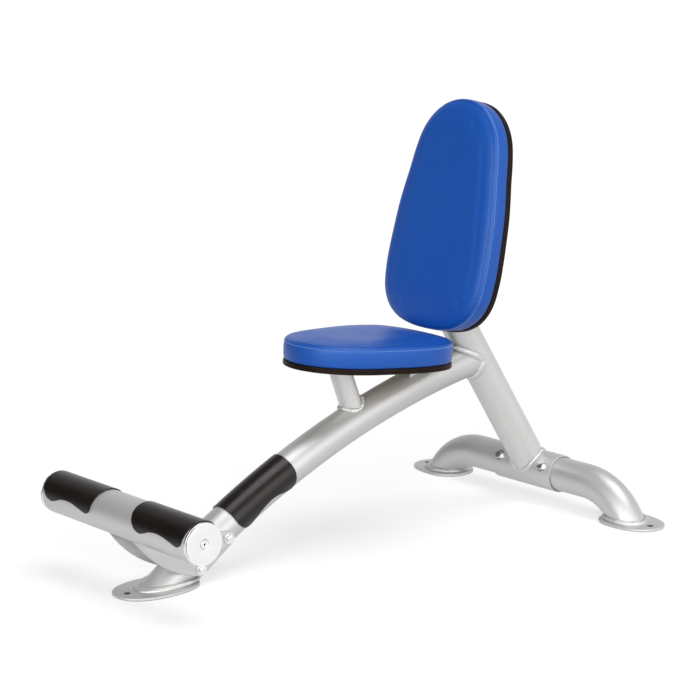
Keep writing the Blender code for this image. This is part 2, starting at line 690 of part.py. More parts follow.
def flange_outline():
    """The flange's edge in the plane of the spine: a leaf with a cope for the footrest tube."""
    top_bolt, low_bolt = flange_bolt_points()
    wrap = FOOTREST_OD / 2.0 + SEAT_GAP

    def on_tube(angle):
        return FOOTREST_CENTRE + wrap * Vector((0.0, -math.sin(angle), -math.cos(angle)))

    cope = [on_tube(FLANGE_WRAP_BACK + (FLANGE_WRAP_FRONT - FLANGE_WRAP_BACK) * i / 12)
            for i in range(13)]
    front_tip = cope[-1]
    back_tip = cope[0]
    to_low = (low_bolt - front_tip).normalized()
    down = Vector((0.0, to_low.z, -to_low.y))
    between = (top_bolt - low_bolt).normalized()
    beyond = Vector((0.0, between.z, -between.y))
    back_run = (back_tip - top_bolt).normalized()
    above = Vector((0.0, back_run.z, -back_run.y))
    low_start = low_bolt + down * FLANGE_CORNER
    top_end = top_bolt + above * FLANGE_CORNER
    edge = list(cope)
    edge += bowed_edge(front_tip, low_start, -FLANGE_BELLY, 10)
    edge += corner_arc(low_bolt, down, beyond, FLANGE_CORNER, 6)
    edge += corner_arc(top_bolt, beyond, above, FLANGE_CORNER, 8)
    edge += bowed_edge(top_end, back_tip, FLANGE_HOLLOW, 8)
    return edge


def corner_arc(centre, first, last, radius, count):
    """Arc about a centre from one unit direction round to another, in the YZ plane."""
    a = math.atan2(first.z, first.y)
    b = math.atan2(last.z, last.y)
    while b < a:
        b += 2.0 * math.pi
    return [centre + radius * Vector((0.0, math.cos(a + (b - a) * i / count),
                                      math.sin(a + (b - a) * i / count)))
            for i in range(count + 1)]


def build_flanges():
    outline = flange_outline()
    inner_x = SPINE_OD / 2.0 + SEAT_GAP
    bolts = flange_bolt_points()
    for side, hand in ((1.0, "left"), (-1.0, "right")):
        bm = bmesh.new()
        near = bm.faces.new([bm.verts.new(p + X_AXIS * side * inner_x) for p in outline])
        grown = bmesh.ops.extrude_face_region(bm, geom=[near])
        moved = [v for v in grown["geom"] if isinstance(v, bmesh.types.BMVert)]
        bmesh.ops.translate(bm, verts=moved, vec=X_AXIS * side * FLANGE_THICKNESS)
        flange = add_piece("footrest_flange_" + hand, bm, "silver_coat")
        for number, bolt in enumerate(bolts, 1):
            start = bolt + X_AXIS * side * (inner_x - CUT_PAST)
            end = bolt + X_AXIS * side * (inner_x + FLANGE_THICKNESS + CUT_PAST)
            cut(flange, hole_cutter(f"flange_hole_cutter_{hand}_{number}", start, end,
                                    FRAME_BOLT / 2.0 + BOLT_PLAY))


# Fasteners

def hex_bolt_profile_mesh(shank, head, head_height, length, place):
    """A hex bolt: head above local Z = 0, shank below it."""
    bm = bmesh.new()
    sides = 12
    tip = [bm.verts.new((shank / 2.0 * math.cos(2.0 * math.pi * k / sides),
                         shank / 2.0 * math.sin(2.0 * math.pi * k / sides), -length))
           for k in range(sides)]
    neck = [bm.verts.new((v.co.x, v.co.y, 0.0)) for v in tip]

    def hexagon(radius, height):
        """Twelve points: the six corners and the middles of the six flats."""
        flat = radius * math.cos(math.pi / 6.0)
        return [bm.verts.new(((radius if k % 2 == 0 else flat) * math.cos(math.pi * k / 6.0),
                              (radius if k % 2 == 0 else flat) * math.sin(math.pi * k / 6.0),
                              height)) for k in range(sides)]

    def circle(radius, height):
        return [bm.verts.new((radius * math.cos(math.pi * k / 6.0),
                              radius * math.sin(math.pi * k / 6.0), height))
                for k in range(sides)]

    under = hexagon(head / 2.0, 0.0)
    shoulder = hexagon(head / 2.0, head_height * HEX_CHAMFER)
    face = circle(head / 2.0 * HEX_FACE, head_height)
    for lower, upper in ((tip, neck), (neck, under), (under, shoulder), (shoulder, face)):
        bridge(bm, lower, upper)
    bm.faces.new(tip)
    bm.faces.new(face)
    bmesh.ops.transform(bm, matrix=place, verts=bm.verts)
    return bm


def washer_mesh(shank, place):
    inner = shank / 2.0 + BOLT_PLAY
    outer = WASHER_OD / 2.0
    profile = [(inner, 0.0), (outer, 0.0), (outer, WASHER_THICKNESS), (inner, WASHER_THICKNESS)]
    return ring_of(profile, WASHER_SIDES, place)


def nut_mesh(shank, across, height, place):
    """A hex nut with a clear bore, standing on local Z = 0."""
    bm = bmesh.new()
    sides = 12
    loops = []
    for is_bore, z in ((True, 0.0), (False, 0.0), (False, height), (True, height)):
        loop = []
        for k in range(sides):
            radius = across / 2.0 * (1.0 if k % 2 == 0 else math.cos(math.pi / 6.0))
            if is_bore:
                radius = shank / 2.0 + SEAT_GAP
            loop.append(bm.verts.new((radius * math.cos(math.pi * k / 6.0),
                                      radius * math.sin(math.pi * k / 6.0), z)))
        loops.append(loop)
    for lower, upper in zip(loops, loops[1:] + loops[:1]):
        bridge(bm, lower, upper)
    bmesh.ops.transform(bm, matrix=place, verts=bm.verts)
    return bm


def build_flange_bolts(spine):
    """Two bolts across the spine, with a washer under each head and each nut."""
    outer_x = SPINE_OD / 2.0 + SEAT_GAP + FLANGE_THICKNESS
    for name, bolt in zip(("upper", "lower"), flange_bolt_points()):
        for side, end in ((1.0, "head"), (-1.0, "nut")):
            washer_at = bolt + X_AXIS * side * (outer_x + SEAT_GAP)
            add_piece(f"footrest_washer_{name}_{end}",
                      washer_mesh(FRAME_BOLT, axis_matrix(washer_at, X_AXIS * side)), "zinc")
        stack = outer_x + WASHER_THICKNESS + 2.0 * SEAT_GAP
        head_at = axis_matrix(bolt + X_AXIS * stack, X_AXIS)
        length = 2.0 * stack + FRAME_NUT_HEIGHT + BOLT_BEYOND_NUT
        add_piece(f"footrest_bolt_{name}",
                  hex_bolt_profile_mesh(FRAME_BOLT, FRAME_BOLT_HEAD, FRAME_BOLT_HEAD_HEIGHT,
                                        length, head_at), "zinc")
        nut_at = axis_matrix(bolt - X_AXIS * stack, -X_AXIS)
        add_piece(f"footrest_nut_{name}",
                  nut_mesh(FRAME_BOLT, FRAME_BOLT_HEAD, FRAME_NUT_HEIGHT, nut_at), "zinc")
        across = X_AXIS * (SPINE_OD / 2.0 + CUT_PAST)
        cut(spine, hole_cutter(f"spine_hole_cutter_{name}", bolt - across, bolt + across,
                               FRAME_BOLT / 2.0 + BOLT_PLAY))


def build_sleeve_bolts(sleeve, legs):
    """One bolt on each side of the upright, through the sleeve wall into the leg."""
    outward = Vector((0.0, -math.cos(SLEEVE_BOLT_RISE), math.sin(SLEEVE_BOLT_RISE)))
    seat = SLEEVE_OD / 2.0 + SEAT_GAP
    for side, hand in ((1.0, "left"), (-1.0, "right")):
        axis_point = UPRIGHT_FOOT + X_AXIS * side * SLEEVE_BOLT_X
        add_piece("sleeve_washer_" + hand,
                  washer_mesh(FRAME_BOLT, axis_matrix(axis_point + outward * seat, outward)),
                  "zinc")
        head = seat + WASHER_THICKNESS + SEAT_GAP
        add_piece("sleeve_bolt_" + hand,
                  hex_bolt_profile_mesh(FRAME_BOLT, FRAME_BOLT_HEAD, FRAME_BOLT_HEAD_HEIGHT,
                                        SLEEVE_BOLT_LENGTH,
                                        axis_matrix(axis_point + outward * head, outward)),
                  "zinc")
        cutter = hole_cutter("sleeve_hole_cutter_" + hand,
                             axis_point + outward * (LEG_OD / 2.0 - LEG_WALL - CUT_PAST),
                             axis_point + outward * (seat + CUT_PAST),
                             FRAME_BOLT / 2.0 + BOLT_PLAY)
        cut(sleeve, cutter)
        cut(legs[hand], cutter)


# Rubber grips with a wave-cut lower border

def smooth_path(knots, count):
    """Catmull-Rom curve through knots, as count points at even parameter steps."""
    points = []
    last = len(knots) - 1
    for i in range(count):
        t = i / (count - 1) * last
        k = min(int(t), last - 1)
        f = t - k
        p0 = knots[max(k - 1, 0)]
        p1, p2 = knots[k], knots[k + 1]
        p3 = knots[min(k + 2, last)]
        point = []
        for a, b, c, d in zip(p0, p1, p2, p3):
            point.append(0.5 * (2.0 * b + (c - a) * f + (2.0 * a - 5.0 * b + 4.0 * c - d) * f ** 2
                                + (3.0 * b - a - 3.0 * c + d) * f ** 3))
        points.append(tuple(point))
    return points


# Border of each grip as (share of its length, degrees round the tube from the top)
FOOTREST_GRIP_BORDER = ((0.0, 30.0), (0.012, 52.0), (0.045, 71.0), (0.11, 88.0), (0.20, 94.5),
                        (0.29, 89.5), (0.38, 82.5), (0.50, 79.8), (0.62, 82.0), (0.74, 88.0),
                        (0.82, 93.0), (0.88, 94.5), (0.925, 88.5), (0.95, 76.0), (0.972, 55.0),
                        (0.99, 30.0))
SPINE_GRIP_BORDER = ((0.0, 60.0), (0.005, 84.0), (0.03, 106.0), (0.09, 125.0), (0.17, 132.5),
                     (0.26, 122.5), (0.35, 113.0), (0.45, 107.0), (0.56, 104.5), (0.67, 109.5),
                     (0.80, 125.0), (0.885, 129.5), (0.945, 118.0), (0.98, 97.0), (1.0, 72.0))


def widest_turn(edge, rows):
    """Largest angle round the tube, in radians, along one side of a facet of a grip."""
    rim = max(abs(here - there) for (_, here), (_, there) in zip(edge, edge[1:]))
    step = max(degrees for _, degrees in edge) / rows
    return math.radians(max(rim, step))


def split_along_tube(bm, near, far, here, there, j):
    """Two facets between columns, split by the diagonal that turns least round the tube."""
    a, b, c, d = near[j], near[j + 1], far[j + 1], far[j]
    rows = len(near) // 2
    first, second = abs(j - rows), abs(j + 1 - rows)
    if abs(here * first - there * second) < abs(here * second - there * first):
        bm.faces.new((a, b, c))
        bm.faces.new((a, c, d))
    else:
        bm.faces.new((a, b, d))
        bm.faces.new((b, c, d))


def grip_mesh(border, length, rows, place_point, tube_radius):
    """Moulded grip shell: place_point(along, angle, radius) maps it round its tube.

    Its bore clears the tube in the middle of each flat facet.
    """
    bm = bmesh.new()
    edge = smooth_path(border, GRIP_COLUMNS)
    inner = (tube_radius + SEAT_GAP) / math.cos(widest_turn(edge, rows) / 2.0)
    layers = []
    for radius in (inner, inner + GRIP_THICKNESS):
        columns = []
        for i, (share, degrees) in enumerate(edge):
            top_share = i / (GRIP_COLUMNS - 1)
            column = []
            for j in range(-rows, rows + 1):
                f = abs(j) / rows
                along = (top_share + (share - top_share) * f ** 3) * length
                angle = math.copysign(math.radians(degrees) * f, j)
                column.append(bm.verts.new(place_point(along, angle, radius)))
            columns.append(column)
        layers.append(columns)
    for columns in layers:
        for i in range(GRIP_COLUMNS - 1):
            for j in range(2 * rows):
                split_along_tube(bm, columns[i], columns[i + 1], edge[i][1], edge[i + 1][1], j)
    low, high = layers
    for column_low, column_high in ((low[0], high[0]), (low[-1], high[-1])):
        for j in range(len(column_low) - 1):
            bm.faces.new((column_low[j], column_low[j + 1], column_high[j + 1], column_high[j]))
    for j in (0, -1):
        for i in range(GRIP_COLUMNS - 1):
            bm.faces.new((low[i][j], low[i + 1][j], high[i + 1][j], high[i][j]))
    return bm


def build_grips():
    starts = (("left", FOOTREST_GRIP_INNER), ("right", -FOOTREST_GRIP_INNER - FOOTREST_GRIP_LENGTH))
    for hand, start in starts:
        def round_footrest(along, angle, radius, start=start):
            return FOOTREST_CENTRE + Vector((start + along, -radius * math.sin(angle),
                                             radius * math.cos(angle)))
        add_piece("footrest_grip_" + hand,
                  grip_mesh(FOOTREST_GRIP_BORDER, FOOTREST_GRIP_LENGTH, FOOTREST_GRIP_ROWS,
                            round_footrest, FOOTREST_OD / 2.0), "black_rubber")

    def round_spine(along, angle, radius):
        return spine_station(SPINE_GRIP_ALONG + along).point(radius, angle)

    add_piece("spine_grip",
              grip_mesh(SPINE_GRIP_BORDER, SPINE_GRIP_LENGTH, SPINE_GRIP_ROWS, round_spine,
                        SPINE_OD / 2.0), "black_rubber")


# Pads

# Half outlines as (share of the half width, share of the reach up or down the pad)
SEAT_HALF_OUTLINE = ((0.0, 1.0), (0.29, 0.985), (0.57, 0.92), (0.80, 0.78), (0.945, 0.55),
                     (0.998, 0.27), (0.993, 0.0), (0.955, -0.165), (0.905, -0.34), (0.83, -0.54),
                     (0.67, -0.755), (0.385, -0.93), (0.0, -1.0))
BACK_HALF_OUTLINE = ((0.0, 1.0), (0.21, 0.983), (0.41, 0.93), (0.60, 0.83), (0.74, 0.69),
                     (0.82, 0.51), (0.87, 0.32), (0.92, 0.155), (0.957, 0.0), (0.98, -0.17),
                     (0.997, -0.35), (0.998, -0.53), (0.95, -0.72), (0.81, -0.86), (0.58, -0.95),
                     (0.30, -0.99), (0.0, -1.0))


def pad_outline(half_outline, width, up, down):
    """Closed pad outline at even spacing, counter-clockwise seen from the pad's face."""
    right = [(s * width / 2.0, t * (up if t > 0.0 else down)) for s, t in half_outline]
    full = right + [(-x, y) for x, y in reversed(right[1:-1])]
    wrapped = full[-2:] + full + full[:3]
    dense = smooth_path(wrapped, (len(wrapped) - 1) * 12 + 1)
    start = 2 * 12
    dense = dense[start:start + len(full) * 12 + 1]
    lengths = [0.0]
    for (x0, y0), (x1, y1) in zip(dense, dense[1:]):
        lengths.append(lengths[-1] + math.hypot(x1 - x0, y1 - y0))
    points = []
    k = 0
    for i in range(PAD_POINTS):
        target = lengths[-1] * i / PAD_POINTS
        while lengths[k + 1] < target:
            k += 1
        f = (target - lengths[k]) / (lengths[k + 1] - lengths[k])
        points.append((dense[k][0] + (dense[k + 1][0] - dense[k][0]) * f,
                       dense[k][1] + (dense[k + 1][1] - dense[k][1]) * f))
    return points[::-1]


def outward_normals(outline):
    normals = []
    for i in range(len(outline)):
        x0, y0 = outline[i - 1]
        x1, y1 = outline[(i + 1) % len(outline)]
        length = math.hypot(x1 - x0, y1 - y0)
        normals.append(((y1 - y0) / length, -(x1 - x0) / length))
    return normals


def offset_outline(outline, distance):
    return [(x + nx * distance, y + ny * distance)
            for (x, y), (nx, ny) in zip(outline, outward_normals(outline))]


def scaled_outline(outline, scale, middle):
    return [(x * scale, middle + (y - middle) * scale) for x, y in outline]


def pad_mesh(outline):
    """Stuffed pad: drawn in at its foot and seam, bulged between, crowned on its face."""
    ys = [y for _, y in outline]
    middle = (max(ys) + min(ys)) / 2.0
    sides = []
    for share in (0.0, PAD_TUCK_SHARE, 0.30, 0.55, 0.80, 1.0):
        tuck = PAD_TUCK * max(1.0 - share / PAD_TUCK_SHARE, 0.0)
        sides.append((PAD_BULGE * math.sin(math.pi * share) - tuck, (share - 1.0) * PAD_BAND))
    sides.append((-PAD_SEAM_IN, PAD_SEAM_IN))
    sides.append((-PAD_SHOULDER_IN, PAD_SHOULDER_RISE))
    bm = bmesh.new()
    loops = []
    for offset, height in sides:
        ring = offset_outline(outline, offset)
        loops.append([bm.verts.new((x, y, height)) for x, y in ring])
    for scale in (0.90, 0.76, 0.58, 0.38, 0.18):
        height = PAD_SHOULDER_RISE + (PAD_CROWN - PAD_SHOULDER_RISE) * (1.0 - scale ** 2)
        ring = scaled_outline(outline, scale, middle)
        loops.append([bm.verts.new((x, y, height)) for x, y in ring])
    for lower, upper in zip(loops, loops[1:]):
        bridge(bm, lower, upper)
    bm.faces.new(loops[0])
    top = bm.verts.new((0.0, middle, PAD_CROWN))
    for k in range(PAD_POINTS):
        bm.faces.new((loops[-1][k], loops[-1][(k + 1) % PAD_POINTS], top))
    return bm


def trim_mesh(outline):
    """Moulded edge trim: a rounded outer wall and a lip under the board."""
    foot = -(PAD_BAND + SEAT_GAP + TRIM_HEIGHT)
    turns = (0.0, math.pi / 4.0, math.pi / 2.0)
    round_out = TRIM_PROUD - TRIM_ROUND
    section = [(-TRIM_LIP_REACH, 0.0)]
    section += [(round_out + TRIM_ROUND * math.sin(turn), TRIM_ROUND * (1.0 - math.cos(turn)))
                for turn in turns]
    section += [(round_out + TRIM_ROUND * math.cos(turn),
                 TRIM_HEIGHT - TRIM_ROUND * (1.0 - math.sin(turn))) for turn in turns]
    section += [(-TRIM_WALL, TRIM_HEIGHT), (-TRIM_WALL, TRIM_LIP), (-TRIM_LIP_REACH, TRIM_LIP)]
    bm = bmesh.new()
    loops = []
    for offset, height in section:
        ring = offset_outline(outline, offset)
        loops.append([bm.verts.new((x, y, foot + height)) for x, y in ring])
    for lower, upper in zip(loops, loops[1:] + loops[:1]):
        bridge(bm, lower, upper)
    return bm


def board_mesh(outline):
    """Plywood board that drops into the trim, on its lip."""
    thickness = TRIM_HEIGHT - TRIM_LIP - SEAT_GAP
    ring = offset_outline(outline, -TRIM_WALL - SEAT_GAP)
    return plate_mesh(ring, thickness, 0.0, Matrix.Translation((0.0, 0.0, BOARD_UNDERSIDE)))


def build_pad(prefix, half_outline, width, up, down, frame):
    outline = pad_outline(half_outline, width, up, down)
    add_piece(prefix + "_pad", pad_mesh(outline), "blue_vinyl", frame, 60.0)
    add_piece(prefix + "_edge_trim", trim_mesh(outline), "black_rubber", frame)
    return add_piece(prefix + "_board", board_mesh(outline), "plywood", frame)


def build_pad_bolts(prefix, places, bracket_of, board, frame):
    """Bolts from the open side of each bracket into the board."""
    for number, (x, y) in enumerate(places, 1):
        seat = BOARD_UNDERSIDE - SEAT_GAP - BRACKET_THICKNESS - SEAT_GAP
        place = axis_matrix(Vector((x, y, seat)), -Z_AXIS, Y_AXIS)
        length = BRACKET_THICKNESS + 2.0 * SEAT_GAP + PAD_BOLT_BITE
        bolt = add_piece(f"{prefix}_bolt_{number}",
                         hex_bolt_profile_mesh(PAD_BOLT, PAD_BOLT_HEAD, PAD_BOLT_HEAD_HEIGHT,
                                               length, place), "zinc", frame)
        end = Vector((x, y, seat + length + SEAT_GAP))
        cutter = hole_cutter(f"{prefix}_bolt_cutter_{number}", Vector((x, y, seat - CUT_PAST)), end,
                            PAD_BOLT / 2.0 + SEAT_GAP, frame)
        cut(board, cutter)
        cut(bracket_of(y), cutter)


# Brackets

def rounded_rectangle(width, length, radius, middle=0.0):
    points = []
    corners = ((1, 1, 0.0), (-1, 1, 90.0), (-1, -1, 180.0), (1, -1, 270.0))
    for sx, sy, first in corners:
        for i in range(5):
            angle = math.radians(first + 90.0 * i / 4)
            points.append((sx * (width / 2.0 - radius) + radius * math.cos(angle),
                           middle + sy * (length / 2.0 - radius) + radius * math.sin(angle)))
    return points


def post_top_in_seat():
    """Where the post axis meets the seat plate, in the seat's own frame."""
    foot = spine_station(POST_FOOT).centre
    direction = Vector((0.0, -math.sin(POST_LEAN), math.cos(POST_LEAN)))
    to_seat = SEAT_MATRIX.inverted()
    start = to_seat @ foot
    run = to_seat.to_3x3() @ direction
    height = BOARD_UNDERSIDE - SEAT_GAP - BRACKET_THICKNESS - SEAT_GAP
    return start + run * ((height - start.z) / run.z)


def build_seat_supports(frame):
    """Post with its plate under the front of the seat, and a bracket on the spine behind it."""
    radius = POST_OD / 2.0
    root = spine_station(POST_FOOT)
    direction = Vector((0.0, -math.sin(POST_LEAN), math.cos(POST_LEAN)))
    forward = direction.cross(X_AXIS)
    bottom = Station(root.centre, X_AXIS, forward)
    if bottom.along.dot(direction) < 0.0:
        bottom = Station(root.centre, -X_AXIS, forward)
    plate_at = SEAT_MATRIX @ post_top_in_seat()
    top = Station(plate_at, bottom.across, bottom.up)
    on_spine = cylinder_surface(root.centre, root.along, SPINE_OD / 2.0 + COPE_GAP, Z_AXIS)
    on_plate = plane_surface(plate_at, SEAT_MATRIX.to_3x3() @ Z_AXIS)
    add_piece("seat_post", tube_mesh([bottom, top], radius, POST_WALL, on_spine, on_plate),
              "silver_coat")
    feet = section_points(bottom, radius, TUBE_SIDES, on_spine)
    above = section_points(top, radius, TUBE_SIDES, None)
    normals = [radial_from_axis(p, root.centre, root.along) for p in feet]
    add_piece("weld_seat_post", weld_mesh(feet, above, normals), "weld_silver")

    plate_foot = BOARD_UNDERSIDE - SEAT_GAP - BRACKET_THICKNESS
    front_y = post_top_in_seat().y
    outline = rounded_rectangle(SEAT_PLATE_WIDTH, SEAT_PLATE_LENGTH, SEAT_PLATE_CORNER, front_y)
    plate = add_piece("seat_front_plate",
                      plate_mesh(outline, BRACKET_THICKNESS, 0.0,
                                 Matrix.Translation((0.0, 0.0, plate_foot))),
                      "silver_coat", frame)

    bracket = add_piece("seat_rear_bracket", rear_bracket_mesh(plate_foot), "silver_coat", frame)
    cut(bracket, spine_cutter("bracket_spine_cutter"))
    return plate, bracket, front_y


def rear_bracket_mesh(plate_foot):
    """Flat top with two legs that straddle the spine."""
    half = SEAT_BRACKET_WIDTH / 2.0
    legs = SEAT_BRACKET_LEG_X
    t = BRACKET_THICKNESS
    reach = SEAT_BRACKET_LEG_REACH
    section = ((-half, t), (-half, 0.0), (-legs - t / 2.0, 0.0), (-legs - t / 2.0, -reach),
               (-legs + t / 2.0, -reach), (-legs + t / 2.0, 0.0), (legs - t / 2.0, 0.0),
               (legs - t / 2.0, -reach), (legs + t / 2.0, -reach), (legs + t / 2.0, 0.0),
               (half, 0.0), (half, t))
    bm = bmesh.new()
    start = SEAT_BRACKET_BACK - SEAT_BRACKET_LENGTH / 2.0
    face = bm.faces.new([bm.verts.new((x, start, plate_foot + z)) for x, z in section])
    grown = bmesh.ops.extrude_face_region(bm, geom=[face])
    moved = [v for v in grown["geom"] if isinstance(v, bmesh.types.BMVert)]
    bmesh.ops.translate(bm, verts=moved, vec=(0.0, SEAT_BRACKET_LENGTH, 0.0))
    return bm


def spine_cutter(name):
    """Solid arch a little larger than the spine, for what is cut to sit on it."""
    bm = bmesh.new()
    radius = SPINE_OD / 2.0 + SEAT_GAP
    stations = stations_between(spine_station, POST_FOOT, SPINE_LENGTH, 9)
    loops = [[bm.verts.new(p) for p in section_points(s, radius, TUBE_SIDES, None)]
             for s in stations]
    for lower, upper in zip(loops, loops[1:]):
        bridge(bm, lower, upper)
    bm.faces.new(loops[0])
    bm.faces.new(loops[-1])
    return add_cutter(name, bm)


def build_back_channel(frame):
    """Pressed channel on the upright that carries the back pad, its flanges to the rear."""
    half = CHANNEL_WIDTH / 2.0
    t = BRACKET_THICKNESS
    top = BOARD_UNDERSIDE - SEAT_GAP

    def folded(radius):
        """Quarter round of the fold between web and flange."""
        turns = [math.pi / 2.0 * i / 3 for i in range(4)]
        return [(half - CHANNEL_FOLD + radius * math.sin(turn),
                 top - CHANNEL_FOLD + radius * math.cos(turn)) for turn in turns]

    outer = folded(CHANNEL_FOLD)
    inner = folded(CHANNEL_FOLD - t)
    right = outer + [(half, top - CHANNEL_DEPTH), (half - t, top - CHANNEL_DEPTH)] + inner[::-1]
    section = right + [(-x, z) for x, z in reversed(right)]
    bm = bmesh.new()
    face = bm.faces.new([bm.verts.new((x, CHANNEL_BOTTOM, z)) for x, z in section])
    grown = bmesh.ops.extrude_face_region(bm, geom=[face])
    moved = [v for v in grown["geom"] if isinstance(v, bmesh.types.BMVert)]
    bmesh.ops.translate(bm, verts=moved, vec=(0.0, CHANNEL_TOP - CHANNEL_BOTTOM, 0.0))
    return add_piece("back_channel", bm, "silver_coat", frame)


seat_frame = pad_frame("seat_frame", SEAT_CENTRE, SEAT_TURN)
back_frame = pad_frame("back_frame", BACK_CENTRE, BACK_TURN)

build_foot_plates()
spine_tube = build_spine()
build_upright()
rear_legs = build_rear_legs()
rear_sleeve = build_sleeve()
build_sleeve_bolts(rear_sleeve, rear_legs)
build_footrest_tube()
build_end_caps()
build_flanges()
build_flange_bolts(spine_tube)
build_grips()

seat_board = build_pad("seat", SEAT_HALF_OUTLINE, SEAT_WIDTH, SEAT_BACK, SEAT_FRONT, seat_frame)
front_plate, rear_bracket, front_plate_y = build_seat_supports(seat_frame)
seat_bolt_places = [(sx * SEAT_BOLT_X, y) for y in (front_plate_y, SEAT_BRACKET_BACK)
                    for sx in (1.0, -1.0)]
build_pad_bolts("seat", seat_bolt_places,
                lambda y: rear_bracket if y > 0.0 else front_plate, seat_board, seat_frame)

back_board = build_pad("back", BACK_HALF_OUTLINE, BACK_WIDTH, BACK_UP, BACK_DOWN, back_frame)
back_channel = build_back_channel(back_frame)
back_bolt_places = [(sx * BACK_BOLT_X, y) for y in (BACK_BOLT_LOW, BACK_BOLT_HIGH)
                    for sx in (1.0, -1.0)]
build_pad_bolts("back", back_bolt_places, lambda y: back_channel, back_board, back_frame)
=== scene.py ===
# Looks of a fixed utility bench, in metres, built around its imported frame.
# The sections follow the bench as it is put together: feet, frame, footrest, seat, back rest.
import math

import bpy
from mathutils import Matrix, Vector


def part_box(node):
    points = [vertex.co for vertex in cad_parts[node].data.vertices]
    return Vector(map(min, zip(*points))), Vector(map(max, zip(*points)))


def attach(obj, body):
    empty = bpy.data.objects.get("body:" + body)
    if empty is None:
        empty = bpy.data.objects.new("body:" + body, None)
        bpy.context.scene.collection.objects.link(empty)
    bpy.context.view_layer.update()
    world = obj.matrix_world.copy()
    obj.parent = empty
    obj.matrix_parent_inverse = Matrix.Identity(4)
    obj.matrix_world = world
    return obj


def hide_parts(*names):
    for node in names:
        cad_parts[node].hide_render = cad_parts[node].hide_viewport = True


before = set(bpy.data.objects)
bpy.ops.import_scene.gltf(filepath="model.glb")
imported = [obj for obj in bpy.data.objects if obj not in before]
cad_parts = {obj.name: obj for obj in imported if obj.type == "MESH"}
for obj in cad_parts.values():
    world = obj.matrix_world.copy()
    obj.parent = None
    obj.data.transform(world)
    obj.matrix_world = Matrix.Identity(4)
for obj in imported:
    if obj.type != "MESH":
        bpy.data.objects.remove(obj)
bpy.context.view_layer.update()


# Camera
# It stands well back with a long lens, to the right of the footrest and a little above the seat,
# as the picture of the bench was taken.
camera_azimuth = math.radians(49.238)
camera_elevation = math.radians(12.0677)
camera_distance = 5.1238
camera_aim = Vector((0.0, 0.0034, 0.4385))
camera_lens = 119.18

back_to_camera = Vector((math.sin(camera_azimuth) * math.cos(camera_elevation),
                         -math.cos(camera_azimuth) * math.cos(camera_elevation),
                         math.sin(camera_elevation)))
bpy.ops.object.select_all(action="DESELECT")
bpy.ops.object.camera_add(location=camera_aim + back_to_camera * camera_distance)
camera = bpy.context.object
camera.rotation_euler = back_to_camera.to_track_quat("Z", "Y").to_euler()
camera.data.lens = camera_lens
camera.data.sensor_width = 36.0
bpy.context.scene.camera = camera
bpy.context.scene.view_settings.view_transform = "Standard"


# Studio
# A pale floor that runs out of sight, white walls under a darker ceiling, with one wall in shade,
# and broad far lights. The floor is white to the camera and keeps the bench's shadow, and metal
# also sees it turn grey past a line that lies out of view at the left.
WHITE = (1.0, 1.0, 1.0, 1.0)
SURROUND_LIGHT = 0.22
WALL_LEVEL = 0.85
CEILING_LEVEL = 0.22
CEILING_START = math.radians(18.0)
CEILING_END = math.radians(52.0)
SHADED_WALL_LEVEL = 0.14
SHADED_WALL_AZIMUTH = math.radians(-50.0)
SHADED_WALL_EDGE = math.radians(58.0)
SHADED_WALL_CORE = math.radians(26.0)
FLOOR_SIZE = 90.0
FLOOR_COLOR = (0.40, 0.40, 0.40, 1.0)
FLOOR_LIFT = 0.63
GREY_FLOOR_LIFT = 0.22
GREY_FLOOR_WAY = (-0.4505, -0.8925, 0.0)
GREY_FLOOR_START = 1.21
GREY_FLOOR_END = 1.51


def feed(tree, node, sources):
    """Link a node's inputs to sockets, or set them to values, by their names or numbers."""
    for key, source in sources.items():
        if isinstance(source, bpy.types.NodeSocket):
            tree.links.new(source, node.inputs[key])
        else:
            node.inputs[key].default_value = source


def shader_node(tree, kind, sources=None, **settings):
    """Add a shader node with its settings and its inputs."""
    made = tree.nodes.new("ShaderNode" + kind)
    for key, value in settings.items():
        setattr(made, key, value)
    feed(tree, made, sources or {})
    return made


def math_value(tree, operation, *values, **settings):
    """The result socket of a Math node on values or sockets."""
    return shader_node(tree, "Math", dict(enumerate(values)), operation=operation,
                       **settings).outputs[0]


def ranged(tree, value, start=0.0, end=1.0, low=0.0, high=1.0, kind="LINEAR"):
    """The result socket of a Map Range node that gives low at start and high at end."""
    return shader_node(tree, "MapRange", {"Value": value, "From Min": start, "From Max": end,
                                          "To Min": low, "To Max": high},
                       interpolation_type=kind).outputs[0]


def seen_directly(tree):
    """1 for rays from the camera, in a gloss or through glass, and 0 for the light that falls."""
    path = shader_node(tree, "LightPath").outputs
    gloss = math_value(tree, "ADD", path["Is Camera Ray"], path["Is Glossy Ray"])
    return math_value(tree, "ADD", gloss, path["Is Transmission Ray"], use_clamp=True)


world = bpy.data.worlds.new("white_surround")
world.use_nodes = True
bpy.context.scene.world = world
air = world.node_tree
look_way = shader_node(air, "TexCoord").outputs["Generated"]
look_height = shader_node(air, "SeparateXYZ", {0: look_way}).outputs["Z"]
wall = ranged(air, look_height, math.sin(CEILING_START), math.sin(CEILING_END),
              WALL_LEVEL, CEILING_LEVEL, "SMOOTHSTEP")
toward_shaded_wall = shader_node(air, "VectorMath", {0: look_way,
                                                     1: (math.sin(SHADED_WALL_AZIMUTH),
                                                         -math.cos(SHADED_WALL_AZIMUTH), 0.0)},
                                 operation="DOT_PRODUCT").outputs["Value"]
shade = ranged(air, toward_shaded_wall, math.cos(SHADED_WALL_EDGE), math.cos(SHADED_WALL_CORE),
               1.0, SHADED_WALL_LEVEL, "SMOOTHSTEP")
surround = ranged(air, seen_directly(air), low=SURROUND_LIGHT,
                  high=math_value(air, "MULTIPLY", wall, shade))
feed(air, air.nodes["Background"], {"Color": WHITE, "Strength": surround})

